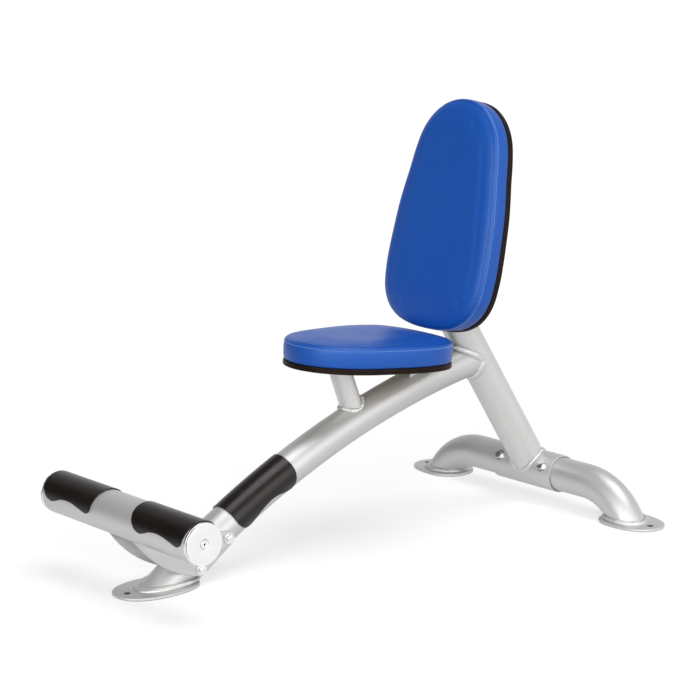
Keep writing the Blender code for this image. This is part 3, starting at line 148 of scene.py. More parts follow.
bpy.ops.object.select_all(action="DESELECT")
bpy.ops.mesh.primitive_plane_add(size=FLOOR_SIZE)
floor = bpy.context.object
floor.name = "studio_floor"
floor_paint = bpy.data.materials.new("floor_paint")
floor_paint.use_nodes = True
floor_tree = floor_paint.node_tree
floor_place = shader_node(floor_tree, "TexCoord").outputs["Object"]
past_line = shader_node(floor_tree, "VectorMath", {0: floor_place, 1: GREY_FLOOR_WAY},
                        operation="DOT_PRODUCT").outputs["Value"]
mirrored_lift = math_value(floor_tree, "MULTIPLY", seen_directly(floor_tree),
                           ranged(floor_tree, past_line, GREY_FLOOR_START, GREY_FLOOR_END,
                                  FLOOR_LIFT, GREY_FLOOR_LIFT))
to_camera = shader_node(floor_tree, "LightPath").outputs["Is Camera Ray"]
feed(floor_tree, floor_tree.nodes["Principled BSDF"],
     {"Base Color": FLOOR_COLOR, "Roughness": 0.9, "Specular IOR Level": 0.1,
      "Emission Color": WHITE,
      "Emission Strength": ranged(floor_tree, to_camera, low=mirrored_lift, high=FLOOR_LIFT)})
floor.data.materials.append(floor_paint)


def soft_light(name, azimuth, elevation, light, spread):
    """A distant studio light; light is what a white sheet that faces it gives back."""
    bpy.ops.object.select_all(action="DESELECT")
    bpy.ops.object.light_add(type="SUN", location=(0.0, 0.0, 3.0))
    lamp = bpy.context.object
    lamp.name = name
    turn, rise = math.radians(azimuth), math.radians(elevation)
    lamp.rotation_euler = Vector((math.sin(turn) * math.cos(rise), -math.cos(turn) * math.cos(rise),
                                  math.sin(rise))).to_track_quat("Z", "Y").to_euler()
    lamp.data.energy = light * math.pi
    lamp.data.angle = math.radians(spread)


soft_light("rear_side_light", 113.0, 15.0, 0.09, 36.0)
soft_light("side_light", 85.0, 14.0, 0.30, 54.0)
soft_light("camera_side_light", 50.0, 26.0, 0.33, 42.0)
soft_light("front_light", 19.0, 14.0, 0.30, 28.0)
soft_light("overhead_light", 120.0, 76.0, 0.46, 38.0)


# Foot plates
# Three flat steel plates cut as rounded eggs, each with an anchor hole at its far end. The edges
# are eased, and the plates are coated with the tubes that are welded on them.
PLATE_THICKNESS = 0.006
PLATE_EASE = 0.0012
PLATE_FULLNESS = 2.25
PLATE_SIDES = 144
ANCHOR_HOLE = 0.014
ANCHOR_EDGE = 0.026
ANCHOR_LIP = 0.0004
FRONT_PLATE_REACH = 0.100
FRONT_PLATE_HALF_WIDTH = 0.066
REAR_PLATE_OUTER = 0.096
REAR_PLATE_INNER = 0.066
REAR_PLATE_HALF_WIDTH = 0.062

front_low, front_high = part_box("front_foot_plate")
rear_low, rear_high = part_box("rear_foot_plate_left")
FRONT_FOOT = Vector((0.0, (front_low.y + front_high.y) / 2.0, 0.0))
LEG_FOOT_X = rear_high.x - REAR_PLATE_OUTER
REAR_PLATE_Y = (rear_low.y + rear_high.y) / 2.0


def only(piece):
    """Select one piece alone and make it active."""
    bpy.ops.object.select_all(action="DESELECT")
    piece.select_set(True)
    bpy.context.view_layer.objects.active = piece


def apply_modifier(piece, kind, **settings):
    """Add a modifier and apply it."""
    only(piece)
    modifier = piece.modifiers.new(kind.title(), kind)
    for key, value in settings.items():
        setattr(modifier, key, value)
    bpy.ops.object.modifier_apply(modifier=modifier.name)


def cut_with(piece, cutter, operation="DIFFERENCE"):
    """Cut a piece with another, which is used up."""
    apply_modifier(piece, "BOOLEAN", operation=operation, solver="EXACT", object=cutter)
    bpy.data.objects.remove(cutter)


def ease_edges(piece, width, segments=3, angle=35.0):
    """Round every edge that turns by more than an angle."""
    apply_modifier(piece, "BEVEL", width=width, segments=segments, limit_method="ANGLE",
                   angle_limit=math.radians(angle), use_clamp_overlap=True)


def edit_all(piece):
    """Open a piece's mesh for editing, with all of it selected."""
    only(piece)
    bpy.ops.object.mode_set(mode="EDIT")
    bpy.ops.mesh.select_all(action="SELECT")


def outward_faces(piece):
    """Join points that fall together and turn every face outwards."""
    edit_all(piece)
    bpy.ops.mesh.remove_doubles(threshold=0.00001)
    bpy.ops.mesh.normals_make_consistent(inside=False)
    bpy.ops.object.mode_set(mode="OBJECT")


def draw_out(piece, move):
    """Draw a flat face out to a solid along a straight move."""
    edit_all(piece)
    bpy.ops.mesh.extrude_region_move(TRANSFORM_OT_translate={"value": move})
    bpy.ops.object.mode_set(mode="OBJECT")
    outward_faces(piece)


def apply_place(piece):
    """Put the object's place and turn into its mesh."""
    only(piece)
    bpy.ops.object.transform_apply(location=True, rotation=True, scale=True)


def dress(piece, material, slot, *nodes, smooth=38.0):
    """Shade and paint a finished piece, hang it on the root body and hide the CAD nodes it stands
    for.
    """
    only(piece)
    bpy.ops.object.shade_smooth_by_angle(angle=math.radians(smooth))
    piece.data.materials.clear()
    piece.data.materials.append(material)
    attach(piece, "root")
    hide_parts(*nodes)


def set_out(master, material, slot, rows, smooth=38.0):
    """Put a piece and copies of it in their places, each with its own mesh, and dress them.

    rows gives the (name, node, matrix) of each piece.
    """
    pieces = [master]
    for _ in rows[1:]:
        piece = master.copy()
        piece.data = master.data.copy()
        bpy.context.scene.collection.objects.link(piece)
        pieces.append(piece)
    for piece, (name, node, matrix) in zip(pieces, rows):
        piece.name = name
        piece.matrix_world = matrix
        apply_place(piece)
        dress(piece, material, slot, node, smooth=smooth)
    return pieces


def new_group(name, inputs, outputs):
    """An empty shader node group; inputs are (name, kind, value) and outputs (name, kind)."""
    group = bpy.data.node_groups.new(name, "ShaderNodeTree")
    for label, kind, value in inputs:
        socket = group.interface.new_socket(label, in_out="INPUT", socket_type="NodeSocket" + kind)
        socket.default_value = value
    for label, kind in outputs:
        group.interface.new_socket(label, in_out="OUTPUT", socket_type="NodeSocket" + kind)
    return group, group.nodes.new("NodeGroupInput"), group.nodes.new("NodeGroupOutput")


def object_place(tree):
    """The socket of the Object coordinates."""
    return shader_node(tree, "TexCoord").outputs["Object"]


def bumped(tree, height, distance, strength=1.0, **more):
    """The Normal socket of a Bump node over a height."""
    return shader_node(tree, "Bump", {"Height": height, "Distance": distance,
                                      "Strength": strength, **more}).outputs[0]


def grain_group():
    """Fine ripple of a coated or moulded surface: Size and Height in metres."""
    group, given, result = new_group("fine_ripple", [("Size", "Float", 0.002),
                                                     ("Height", "Float", 0.00002)],
                                     [("Normal", "Vector")])
    noise = shader_node(group, "TexNoise",
                        {"Vector": object_place(group), "Detail": 3.0, "Roughness": 0.55,
                         "Scale": math_value(group, "DIVIDE", 1.0, given.outputs["Size"])})
    feed(group, result, {"Normal": bumped(group, noise.outputs[0], given.outputs["Height"])})
    return group


def blotch_group():
    """Slow change over a surface, between Low and High, over about Size metres."""
    group, given, result = new_group("slow_blotch", [("Size", "Float", 0.1), ("Low", "Float", 0.0),
                                                     ("High", "Float", 1.0)],
                                     [("Value", "Float")])
    noise = shader_node(group, "TexNoise",
                        {"Vector": object_place(group), "Detail": 4.0,
                         "Scale": math_value(group, "DIVIDE", 1.0, given.outputs["Size"])})
    feed(group, result, {"Value": ranged(group, noise.outputs[0], 0.3, 0.7,
                                         given.outputs["Low"], given.outputs["High"])})
    return group


def worn_edge_group():
    """Mask of the outer edges of a piece, broken up as rubbed edges are."""
    group, given, result = new_group("worn_edge", [("Start", "Float", 0.52), ("End", "Float", 0.60)],
                                     [("Mask", "Float")])
    sharpness = shader_node(group, "NewGeometry").outputs["Pointiness"]
    edge = ranged(group, sharpness, given.outputs["Start"], given.outputs["End"])
    noise = shader_node(group, "TexNoise", {"Vector": object_place(group), "Scale": 180.0})
    feed(group, result, {"Mask": math_value(group, "MULTIPLY", edge, noise.outputs[0],
                                            use_clamp=True)})
    return group


fine_ripple = grain_group()
slow_blotch = blotch_group()
worn_edge = worn_edge_group()


def group_value(tree, group, **values):
    """Place a node group in a material with its own values, and give its result socket."""
    made = tree.nodes.new("ShaderNodeGroup")
    made.node_tree = group
    feed(tree, made, values)
    return made.outputs[0]


def varied(tree, size, low=0.0, high=1.0):
    """A value that drifts between low and high over about size metres."""
    return group_value(tree, slow_blotch, Size=size, Low=low, High=high)


def blend(tree, mask, first, second):
    """The result socket of a mix of two colours by a mask."""
    return shader_node(tree, "Mix", {"Factor": mask, "A": first, "B": second},
                       data_type="RGBA").outputs["Result"]


def new_material(name):
    """A material, its node tree and its shader."""
    material = bpy.data.materials.new(name)
    material.use_nodes = True
    return material, material.node_tree, material.node_tree.nodes["Principled BSDF"]


RUBBED_COAT = (0.74, 0.74, 0.73, 1.0)
# Painted contact shadow: near the floor the coat darkens towards this colour, between these heights.
CONTACT_SHADOW_COLOR = (0.035, 0.033, 0.030, 1.0)
CONTACT_SHADOW_START = 0.0007
CONTACT_SHADOW_END = 0.0017


def coat_material(name, dark, light, roughness, ripple_height):
    """Silver powder coat: bright flakes in grey lacquer, orange peel, painted shade along the floor.
    """
    material, tree, shader = new_material(name)
    place = object_place(tree)
    flakes = shader_node(tree, "TexVoronoi", {"Vector": place, "Scale": 1700.0})
    flake_light = shader_node(tree, "SeparateColor", {"Color": flakes.outputs["Color"]})
    light_share = math_value(tree, "MULTIPLY", flake_light.outputs[0],
                             varied(tree, 0.05, 0.25, 0.75))
    rubbed = blend(tree, group_value(tree, worn_edge), blend(tree, light_share, dark, light),
                   RUBBED_COAT)
    # Darker in the lowest millimetre or two above the floor: a painted contact shadow.
    height = shader_node(tree, "SeparateXYZ", {0: place}).outputs["Z"]
    contact_shadow = ranged(tree, height, CONTACT_SHADOW_START, CONTACT_SHADOW_END, 0.85, 0.0)
    feed(tree, shader, {"Base Color": blend(tree, contact_shadow, rubbed, CONTACT_SHADOW_COLOR), "Metallic": 0.60,
                        "Roughness": varied(tree, 0.09, roughness - 0.02, roughness + 0.02),
                        "Normal": group_value(tree, fine_ripple, Size=0.0016,
                                              Height=ripple_height)})
    return material


def painted_shade_bore_material():
    """Bare steel in a hole, painted near black as the shade inside it."""
    material, tree, shader = new_material("painted_shade_bore")
    tone = blend(tree, varied(tree, 0.004), (0.045, 0.042, 0.040, 1.0), (0.090, 0.086, 0.082, 1.0))
    feed(tree, shader, {"Base Color": tone, "Roughness": 0.7})
    return material


silver_coat = coat_material("silver_coat", (0.56, 0.56, 0.555, 1.0), (0.60, 0.60, 0.595, 1.0), 0.45,
                            0.000012)
painted_shade_bore = painted_shade_bore_material()


def egg_plate(front, back, half_width):
    """One foot plate: a disc drawn out to an egg, given its thickness, holed and eased."""
    bpy.ops.object.select_all(action="DESELECT")
    bpy.ops.mesh.primitive_circle_add(vertices=PLATE_SIDES, radius=1.0, fill_type="NGON")
    plate = bpy.context.object
    for vertex in plate.data.vertices:
        x, y = vertex.co.x, vertex.co.y
        reach = back if y > 0.0 else front
        vertex.co.x = half_width * math.copysign(abs(x) ** (2.0 / PLATE_FULLNESS), x)
        vertex.co.y = reach * math.copysign(abs(y) ** (2.0 / PLATE_FULLNESS), y)
    draw_out(plate, (0.0, 0.0, PLATE_THICKNESS))
    bpy.ops.mesh.primitive_cylinder_add(vertices=64, radius=ANCHOR_HOLE / 2.0,
                                        depth=6.0 * PLATE_THICKNESS,
                                        location=(0.0, ANCHOR_EDGE - front, 0.0))
    cut_with(plate, bpy.context.object)
    ease_edges(plate, PLATE_EASE)
    apply_modifier(plate, "WEIGHTED_NORMAL", keep_sharp=True)
    return plate


def feet(front, back, half_width, rows):
    """Model one foot plate and set out its copies; rows gives (name, node, centre, turn)."""
    places = [(name, node, Matrix.Translation(centre) @ Matrix.Rotation(turn, 4, "Z"))
              for name, node, centre, turn in rows]
    plates = set_out(egg_plate(front, back, half_width), silver_coat, "silver_coat", places)
    # The faces of each anchor hole's wall take the near-black bore material: painted shade in the
    # hole.
    for plate, place in zip(plates, places):
        plate.data.materials.append(painted_shade_bore)
        hole = place[2] @ Vector((0.0, ANCHOR_EDGE - front, 0.0))
        for face in plate.data.polygons:
            away = math.hypot(face.center.x - hole.x, face.center.y - hole.y)
            if away < ANCHOR_HOLE / 2.0 + ANCHOR_LIP:
                face.material_index = 1


feet(FRONT_PLATE_REACH, FRONT_PLATE_REACH, FRONT_PLATE_HALF_WIDTH,
     [("front_foot", "front_foot_plate", FRONT_FOOT, 0.0)])
feet(REAR_PLATE_OUTER, REAR_PLATE_INNER, REAR_PLATE_HALF_WIDTH,
     [("rear_foot_" + hand, "rear_foot_plate_" + hand,
       Vector((side * LEG_FOOT_X, REAR_PLATE_Y, 0.0)), side * math.pi / 2.0)
      for hand, side in (("left", 1.0), ("right", -1.0))])


# Spine
# One tube bent to a long arch, from the front foot plate to the upright. It is mitred flat on the
# plate and coped to the upright's round wall.
X_AXIS = Vector((1.0, 0.0, 0.0))
Z_AXIS = Vector((0.0, 0.0, 1.0))
FIT_GAP = 0.0003
PLATE_TOP = PLATE_THICKNESS + FIT_GAP
SPINE_OD = 0.0785
SPINE_BEND = 2.10
SPINE_SLOPE = math.radians(35.4)
SPINE_FOOT = FRONT_FOOT + Vector((0.0, 0.024, PLATE_TOP))
SPINE_CENTRE = SPINE_FOOT + SPINE_BEND * Vector((0.0, math.sin(SPINE_SLOPE),
                                                 -math.cos(SPINE_SLOPE)))
COPE_GAP = 0.0006
REAR_LEG_Y = REAR_PLATE_Y - 0.004
UPRIGHT_OD = 0.080
UPRIGHT_LEAN = math.radians(33.5)
UPRIGHT_FOOT = Vector((0.0, REAR_LEG_Y, 0.0725))
UPRIGHT_RUN = Vector((0.0, -math.sin(UPRIGHT_LEAN), math.cos(UPRIGHT_LEAN)))


def spine_place(along):
    """Centre of the spine at a distance from the front plate, with the run and outward ways."""
    slope = SPINE_SLOPE - along / SPINE_BEND
    outward = Vector((0.0, -math.sin(slope), math.cos(slope)))
    run = Vector((0.0, math.cos(slope), math.sin(slope)))
    return SPINE_CENTRE + SPINE_BEND * outward, run, outward


def spine_reach():
    """Distance along the arch at which it crosses the upright's axis."""
    square = Vector((0.0, math.cos(UPRIGHT_LEAN), math.sin(UPRIGHT_LEAN)))
    low, high = 0.0, SPINE_BEND * SPINE_SLOPE
    while high - low > 1e-6:
        middle = (low + high) / 2.0
        if (spine_place(middle)[0] - UPRIGHT_FOOT).dot(square) < 0.0:
            low = middle
        else:
            high = middle
    return low


SPINE_LENGTH = spine_reach()


def disc(name, radius, centre, way, sides=128):
    """A filled disc to draw a tube from."""
    bpy.ops.object.select_all(action="DESELECT")
    bpy.ops.mesh.primitive_circle_add(vertices=sides, radius=radius, fill_type="NGON",
                                      location=centre,
                                      rotation=way.to_track_quat("Z", "Y").to_euler())
    piece = bpy.context.object
    piece.name = name
    apply_place(piece)
    return piece


def trim_below(piece, point, normal):
    """Cut away what lies behind a plane and close the cut."""
    edit_all(piece)
    bpy.ops.mesh.bisect(plane_co=point, plane_no=normal, use_fill=True, clear_inner=True)
    bpy.ops.object.mode_set(mode="OBJECT")


def rod_cutter(radius, start, end, sides=128):
    """A long round cutter between two points."""
    run = end - start
    bpy.ops.object.select_all(action="DESELECT")
    bpy.ops.mesh.primitive_cylinder_add(vertices=sides, radius=radius, depth=run.length,
                                        location=(start + end) / 2.0,
                                        rotation=run.to_track_quat("Z", "Y").to_euler())
    cutter = bpy.context.object
    apply_place(cutter)
    return cutter


SPINE_OVERRUN = 0.07
start_centre, start_run = spine_place(-SPINE_OVERRUN)[:2]
spine = disc("spine", SPINE_OD / 2.0, start_centre, start_run)
edit_all(spine)
bpy.ops.mesh.spin(steps=90, angle=(SPINE_LENGTH + SPINE_OVERRUN) / SPINE_BEND,
                  center=SPINE_CENTRE, axis=X_AXIS)
bpy.ops.object.mode_set(mode="OBJECT")
outward_faces(spine)
trim_below(spine, Vector((0.0, 0.0, PLATE_TOP)), Z_AXIS)
cut_with(spine, rod_cutter(UPRIGHT_OD / 2.0 + COPE_GAP, UPRIGHT_FOOT,
                           UPRIGHT_FOOT + UPRIGHT_RUN * 0.7))
dress(spine, silver_coat, "silver_coat", "spine_tube")


# Rear sleeve and legs
# Two bent tubes plug into a short sleeve. Each leg turns down to its plate and is mitred on it,
# and the ends of the sleeve are turned, so that they show a bright rim and a dark gap.
Y_AXIS = Vector((0.0, 1.0, 0.0))
SLEEVE_OD = 0.0889
SLEEVE_HALF = 0.097
SLEEVE_EASE = 0.0007
SLEEVE_MOUTH = 0.0022
LEG_OD = 0.080
LEG_AXIS_HEIGHT = UPRIGHT_FOOT.z
LEG_INNER_END = 0.002
LEG_BEND_START = 0.181
LEG_BEND_RADIUS = 0.150
LEG_OVERTURN = 0.35


def turned(profile, sides=96, ease=0.0, segments=2):
    """A turned piece: a closed (radius, height) profile spun round local Z."""
    bpy.ops.object.select_all(action="DESELECT")
    bpy.ops.mesh.primitive_circle_add(vertices=len(profile), radius=1.0, fill_type="NOTHING")
    piece = bpy.context.object
    for vertex, (radius, height) in zip(piece.data.vertices, profile):
        vertex.co = (radius, 0.0, height)
    edit_all(piece)
    bpy.ops.mesh.spin(steps=sides, angle=2.0 * math.pi, center=(0.0, 0.0, 0.0), axis=Z_AXIS)
    bpy.ops.object.mode_set(mode="OBJECT")
    outward_faces(piece)
    if ease > 0.0:
        ease_edges(piece, ease, segments)
    return piece


def facing(point, direction):
    """Matrix that puts local Z along a direction at a point."""
    return Matrix.Translation(point) @ direction.to_track_quat("Z", "Y").to_matrix().to_4x4()


sleeve_bore = LEG_OD / 2.0 + FIT_GAP
sleeve = turned([(sleeve_bore, -SLEEVE_HALF + SLEEVE_MOUTH),
                 (sleeve_bore + SLEEVE_MOUTH, -SLEEVE_HALF), (SLEEVE_OD / 2.0, -SLEEVE_HALF),
                 (SLEEVE_OD / 2.0, SLEEVE_HALF), (sleeve_bore + SLEEVE_MOUTH, SLEEVE_HALF),
                 (sleeve_bore, SLEEVE_HALF - SLEEVE_MOUTH)], 128, SLEEVE_EASE, 3)
set_out(sleeve, silver_coat, "silver_coat",
        [("rear_sleeve_tube", "rear_sleeve", facing(UPRIGHT_FOOT, X_AXIS))])

leg_turn = math.acos(1.0 - (LEG_AXIS_HEIGHT - PLATE_TOP) / LEG_BEND_RADIUS)
leg = disc("leg", LEG_OD / 2.0, UPRIGHT_FOOT + X_AXIS * LEG_INNER_END, X_AXIS)
edit_all(leg)
bpy.ops.mesh.extrude_region_move(
    TRANSFORM_OT_translate={"value": (LEG_BEND_START - LEG_INNER_END, 0.0, 0.0)})
bpy.ops.mesh.spin(steps=48, angle=-(leg_turn + LEG_OVERTURN), axis=Y_AXIS,
                  center=(LEG_BEND_START, REAR_LEG_Y, LEG_AXIS_HEIGHT - LEG_BEND_RADIUS))
bpy.ops.object.mode_set(mode="OBJECT")
outward_faces(leg)
trim_below(leg, Vector((0.0, 0.0, PLATE_TOP)), Z_AXIS)
other_side = Matrix.Translation((0.0, 2.0 * REAR_LEG_Y, 0.0)) @ Matrix.Rotation(math.pi, 4, "Z")
set_out(leg, silver_coat, "silver_coat", [("leg_left", "rear_leg_left", Matrix()),
                                          ("leg_right", "rear_leg_right", other_side)])


# Upright
# A straight leaning tube, coped to the sleeve at its foot and cut off flat on the channel that
# carries the back rest.
BACK_LEAN = math.radians(13.5)
BACK_CENTRE = Vector((0.0, 0.28443, 0.7226))
BACK_MATRIX = Matrix.Translation(BACK_CENTRE) @ Matrix.Rotation(math.pi / 2.0 - BACK_LEAN, 4, "X")
BOARD_UNDERSIDE = -0.0525
BRACKET_THICKNESS = 0.005
BRACKET_FACE = BOARD_UNDERSIDE - BRACKET_THICKNESS - 2.0 * FIT_GAP

upright = disc("upright", UPRIGHT_OD / 2.0, UPRIGHT_FOOT, UPRIGHT_RUN)
draw_out(upright, UPRIGHT_RUN * 0.8)
trim_below(upright, BACK_MATRIX @ Vector((0.0, 0.0, BRACKET_FACE)),
           BACK_MATRIX.to_3x3() @ -Z_AXIS)
cut_with(upright, rod_cutter(SLEEVE_OD / 2.0 + COPE_GAP, UPRIGHT_FOOT - X_AXIS * 0.1,
                             UPRIGHT_FOOT + X_AXIS * 0.1))
dress(upright, silver_coat, "silver_coat", "upright_tube")


# Weld beads
# Round every joint the torch leaves a rippled bead, a little uneven in width, which the coat
# covers. It comes out brighter than the tubes: its ripples catch light from all sides, and its
# coat is also painted lighter than theirs, a painted highlight.
BEAD_MARK_SPACING = 0.0032
BEAD_OVER_ROUND = 1.15
BEAD_STEPS_PER_MARK = 6
BEAD_STEPS_ACROSS = 14

# Lighter colours than the tube coat: partly a painted highlight on the bead.
weld_silver = coat_material("weld_silver", (0.58, 0.58, 0.57, 1.0), (0.68, 0.68, 0.67, 1.0), 0.35,
                            0.00003)


def grid_ring(name, around, across, place):
    """A closed ring: a grid whose two ways both close, set out by place(turn, share)."""
    bpy.ops.object.select_all(action="DESELECT")
    bpy.ops.mesh.primitive_grid_add(x_subdivisions=around, y_subdivisions=across, size=1.0)
    piece = bpy.context.object
    piece.name = name
    for vertex in piece.data.vertices:
        vertex.co = place(vertex.co.x + 0.5, vertex.co.y + 0.5)
    outward_faces(piece)
    return piece


def meet_plane(height):
    """Where a line meets a level plane, and the plane's normal there."""
    def meet(point, run):
        return point + run * ((height - point.z) / run.z), Z_AXIS
    return meet


def meet_tube(axis_point, axis, radius, side):
    """Where a line meets a round tube on one side, and the tube's normal there."""
    def meet(point, run):
        offset = point - axis_point
        flat_offset = offset - axis * offset.dot(axis)
        flat_run = run - axis * run.dot(axis)
        a = flat_run.length_squared
        b = flat_offset.dot(flat_run)
        c = flat_offset.length_squared - radius * radius
        root = math.sqrt(max(b * b - a * c, 0.0))
        hits = [point + run * ((-b + sign * root) / a) for sign in (-1.0, 1.0)]
        hit = max(hits, key=lambda place: (place - axis_point).dot(side))
        away = hit - axis_point
        return hit, (away - axis * away.dot(axis)).normalized()
    return meet


def bead(name, node, centre, run, radius, meet, size, ripple, wander):
    """A weld bead where a tube, running along run, meets a surface.

    ripple is the height of the torch marks and wander the change in width, as shares of size. The
    number of marks allows for the joint being a little longer than the round of the tube.
    """
    up = X_AXIS.cross(run) if abs(run.dot(X_AXIS)) < 0.5 else Y_AXIS
    up = (up - run * up.dot(run)).normalized()
    across = run.cross(up).normalized()
    marks = round(2.0 * math.pi * radius * BEAD_OVER_ROUND / BEAD_MARK_SPACING)

    def foot(turn):
        angle = 2.0 * math.pi * turn
        point = centre + radius * (math.cos(angle) * up + math.sin(angle) * across)
        return meet(point, run)

    middle = foot(0.0)[0] * 0.5 + foot(0.5)[0] * 0.5

    def place(turn, share):
        here, normal = foot(turn)
        before, after = foot(turn - 0.002)[0], foot(turn + 0.002)[0]
        way = (after - before).normalized()
        outward = way.cross(normal).normalized()
        if outward.dot(here - middle) < 0.0:
            outward = -outward
        upward = (-run - way * (-run).dot(way)).normalized()
        angle = 2.0 * math.pi * turn
        change = 1.0 + wander * (0.5 * math.sin(3.0 * angle + 1.0) + 0.3 * math.sin(7.0 * angle)
                                 + 0.2 * math.sin(17.0 * angle + 2.0))
        section = 2.0 * math.pi * share
        crest = max(math.cos(section - math.pi / 4.0), 0.0)
        phase = marks * turn + 0.45 * crest * crest
        step = phase - math.floor(phase)
        mark = ripple * crest * (4.0 * step * (1.0 - step) - 0.5)
        reach = size * change * (0.60 + mark)
        return (here + (upward + outward) * size * change * 0.40
                + (upward * math.sin(section) + outward * math.cos(section)) * reach)

    piece = grid_ring(name, marks * BEAD_STEPS_PER_MARK, BEAD_STEPS_ACROSS, place)
    dress(piece, weld_silver, "weld_silver", node, smooth=80.0)


spine_end, spine_end_run = spine_place(SPINE_LENGTH)[:2]
bead("bead_spine_foot", "weld_spine_foot", SPINE_FOOT, -spine_place(0.0)[1], SPINE_OD / 2.0,
     meet_plane(PLATE_TOP), 0.0105, 0.10, 0.10)
bead("bead_spine_upright", "weld_spine_upright", spine_end, spine_end_run, SPINE_OD / 2.0,
     meet_tube(UPRIGHT_FOOT, UPRIGHT_RUN, UPRIGHT_OD / 2.0, -Y_AXIS), 0.0105, 0.12, 0.12)
bead("bead_upright_foot", "weld_upright_foot", UPRIGHT_FOOT, -UPRIGHT_RUN, UPRIGHT_OD / 2.0,
     meet_tube(UPRIGHT_FOOT, X_AXIS, SLEEVE_OD / 2.0, Z_AXIS), 0.0068, 0.12, 0.12)
for hand, side in (("left", 1.0), ("right", -1.0)):
    leg_end = Vector((side * (LEG_BEND_START + LEG_BEND_RADIUS * math.sin(leg_turn)), REAR_LEG_Y,
                      PLATE_TOP))
    leg_run = Vector((side * math.cos(leg_turn), 0.0, -math.sin(leg_turn)))
    bead("bead_leg_foot_" + hand, "weld_leg_foot_" + hand, leg_end, leg_run, LEG_OD / 2.0,
         meet_plane(PLATE_TOP), 0.0088, 0.10, 0.10)


# Footrest tube and end caps
# A straight tube across the front, closed at each end by a turned and polished aluminium cap
# that a flat-headed screw holds. A groove runs round the cap, behind its face.
FOOTREST_OD = 0.0889
FOOTREST_WALL = 0.003
cap_low, cap_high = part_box("footrest_cap_left")
FOOTREST_AXIS = Vector((0.0, (cap_low.y + cap_high.y) / 2.0, (cap_low.z + cap_high.z) / 2.0))
FOOTREST_HALF = cap_high.x
CAP_THICKNESS = 0.0100
CAP_PLUG = 0.014
CAP_BORE = 0.0043
CAP_GROOVE = 0.0022
GROOVE_PLACE = 0.0031
GROOVE_HALF_WIDTH = 0.0011
SOCKET_RADIUS = 0.0023
HOLLOW_SHADE = 0.9
SCREW_HEAD = 0.019
SCREW_RISE = 0.0003

rim = FOOTREST_OD / 2.0
bore = rim - FOOTREST_WALL
tube_half = FOOTREST_HALF - CAP_THICKNESS - FIT_GAP
footrest = turned([(bore, -tube_half), (rim, -tube_half), (rim, tube_half), (bore, tube_half)],
                  128, 0.0004)
set_out(footrest, silver_coat, "silver_coat",
        [("footrest_bar", "footrest_tube", facing(FOOTREST_AXIS, X_AXIS))])


def lathe_material(name, color, roughness, ring_size):
    """Bright turned metal: fine rings about the footrest's axis, painted shade in its groove and
    socket.
    """
    material, tree, shader = new_material(name)
    place = object_place(tree)
    centred = shader_node(tree, "Mapping", {"Vector": place, "Location": -FOOTREST_AXIS})
    flat = shader_node(tree, "VectorMath", {0: centred.outputs[0], 1: (0.0, 1.0, 1.0)},
                       operation="MULTIPLY")
    away = shader_node(tree, "VectorMath", {0: flat.outputs[0]}, operation="LENGTH")
    rings = shader_node(tree, "TexNoise", {"W": away.outputs["Value"], "Scale": 1.0 / ring_size,
                                           "Detail": 4.0}, noise_dimensions="1D").outputs[0]
    across = math_value(tree, "ABSOLUTE", shader_node(tree, "SeparateXYZ", {0: place}).outputs["X"])
    from_groove = math_value(tree, "ABSOLUTE", math_value(tree, "SUBTRACT", across,
                                                          FOOTREST_HALF - GROOVE_PLACE))
    in_groove = ranged(tree, from_groove, GROOVE_HALF_WIDTH, GROOVE_HALF_WIDTH + 0.0006,
                       HOLLOW_SHADE, 0.0)
    in_socket = ranged(tree, away.outputs["Value"], SOCKET_RADIUS - 0.0002,
                       SOCKET_RADIUS + 0.0002, HOLLOW_SHADE, 0.0)
    tone = blend(tree, varied(tree, 0.02, 0.0, 0.25), color,
                 tuple(0.9 * c for c in color[:3]) + (1.0,))
    # The groove round the cap and the screw's socket are painted near black: painted shade in the
    # hollows.
    hollows_painted_shade = blend(tree, math_value(tree, "MAXIMUM", in_groove, in_socket), tone,
                    (0.02, 0.02, 0.02, 1.0))
    feed(tree, shader, {"Base Color": hollows_painted_shade, "Metallic": 1.0,
                        "Roughness": ranged(tree, rings, low=roughness - 0.05,
                                            high=roughness + 0.08),
                        "Normal": bumped(tree, rings, 0.000012)})
    return material


polished_aluminium = lathe_material("polished_aluminium", (0.87, 0.87, 0.87, 1.0), 0.24, 0.0011)
turned_zinc = lathe_material("turned_zinc", (0.86, 0.87, 0.88, 1.0), 0.20, 0.0007)

plug = rim - FOOTREST_WALL - FIT_GAP
recess = SCREW_HEAD / 2.0 + 0.0007
cap = turned([(CAP_BORE, -CAP_PLUG), (plug, -CAP_PLUG), (plug, 0.0), (rim, 0.0),
              (rim, CAP_THICKNESS - 0.0052), (rim - 0.0005, CAP_THICKNESS - 0.0047),
              (rim - CAP_GROOVE, CAP_THICKNESS - 0.0044),
              (rim - CAP_GROOVE, CAP_THICKNESS - 0.0018),
              (rim - 0.0006, CAP_THICKNESS - 0.0015), (rim - 0.0003, CAP_THICKNESS - 0.0012),
              (rim - 0.0003, CAP_THICKNESS - 0.0004), (rim - 0.0007, CAP_THICKNESS),
              (recess + 0.0005, CAP_THICKNESS), (recess, CAP_THICKNESS - 0.0005),
              (recess, CAP_THICKNESS - 0.003), (CAP_BORE, CAP_THICKNESS - 0.003)], 144, 0.0002)
head = SCREW_HEAD / 2.0
crown = CAP_THICKNESS + SCREW_RISE
screw = turned([(0.0, -0.026), (0.004, -0.026), (0.004, CAP_THICKNESS - 0.0027),
                (head, CAP_THICKNESS - 0.0027), (head, crown - SCREW_RISE),
                (head - 0.0004, crown), (0.0058, crown), (0.0052, crown - 0.0005),
                (0.0046, crown - 0.0005), (0.0040, crown), (0.0026, crown),
                (SOCKET_RADIUS, crown - 0.0003), (SOCKET_RADIUS, crown - 0.0075),
                (0.0, crown - 0.0075)], 72, 0.0001)
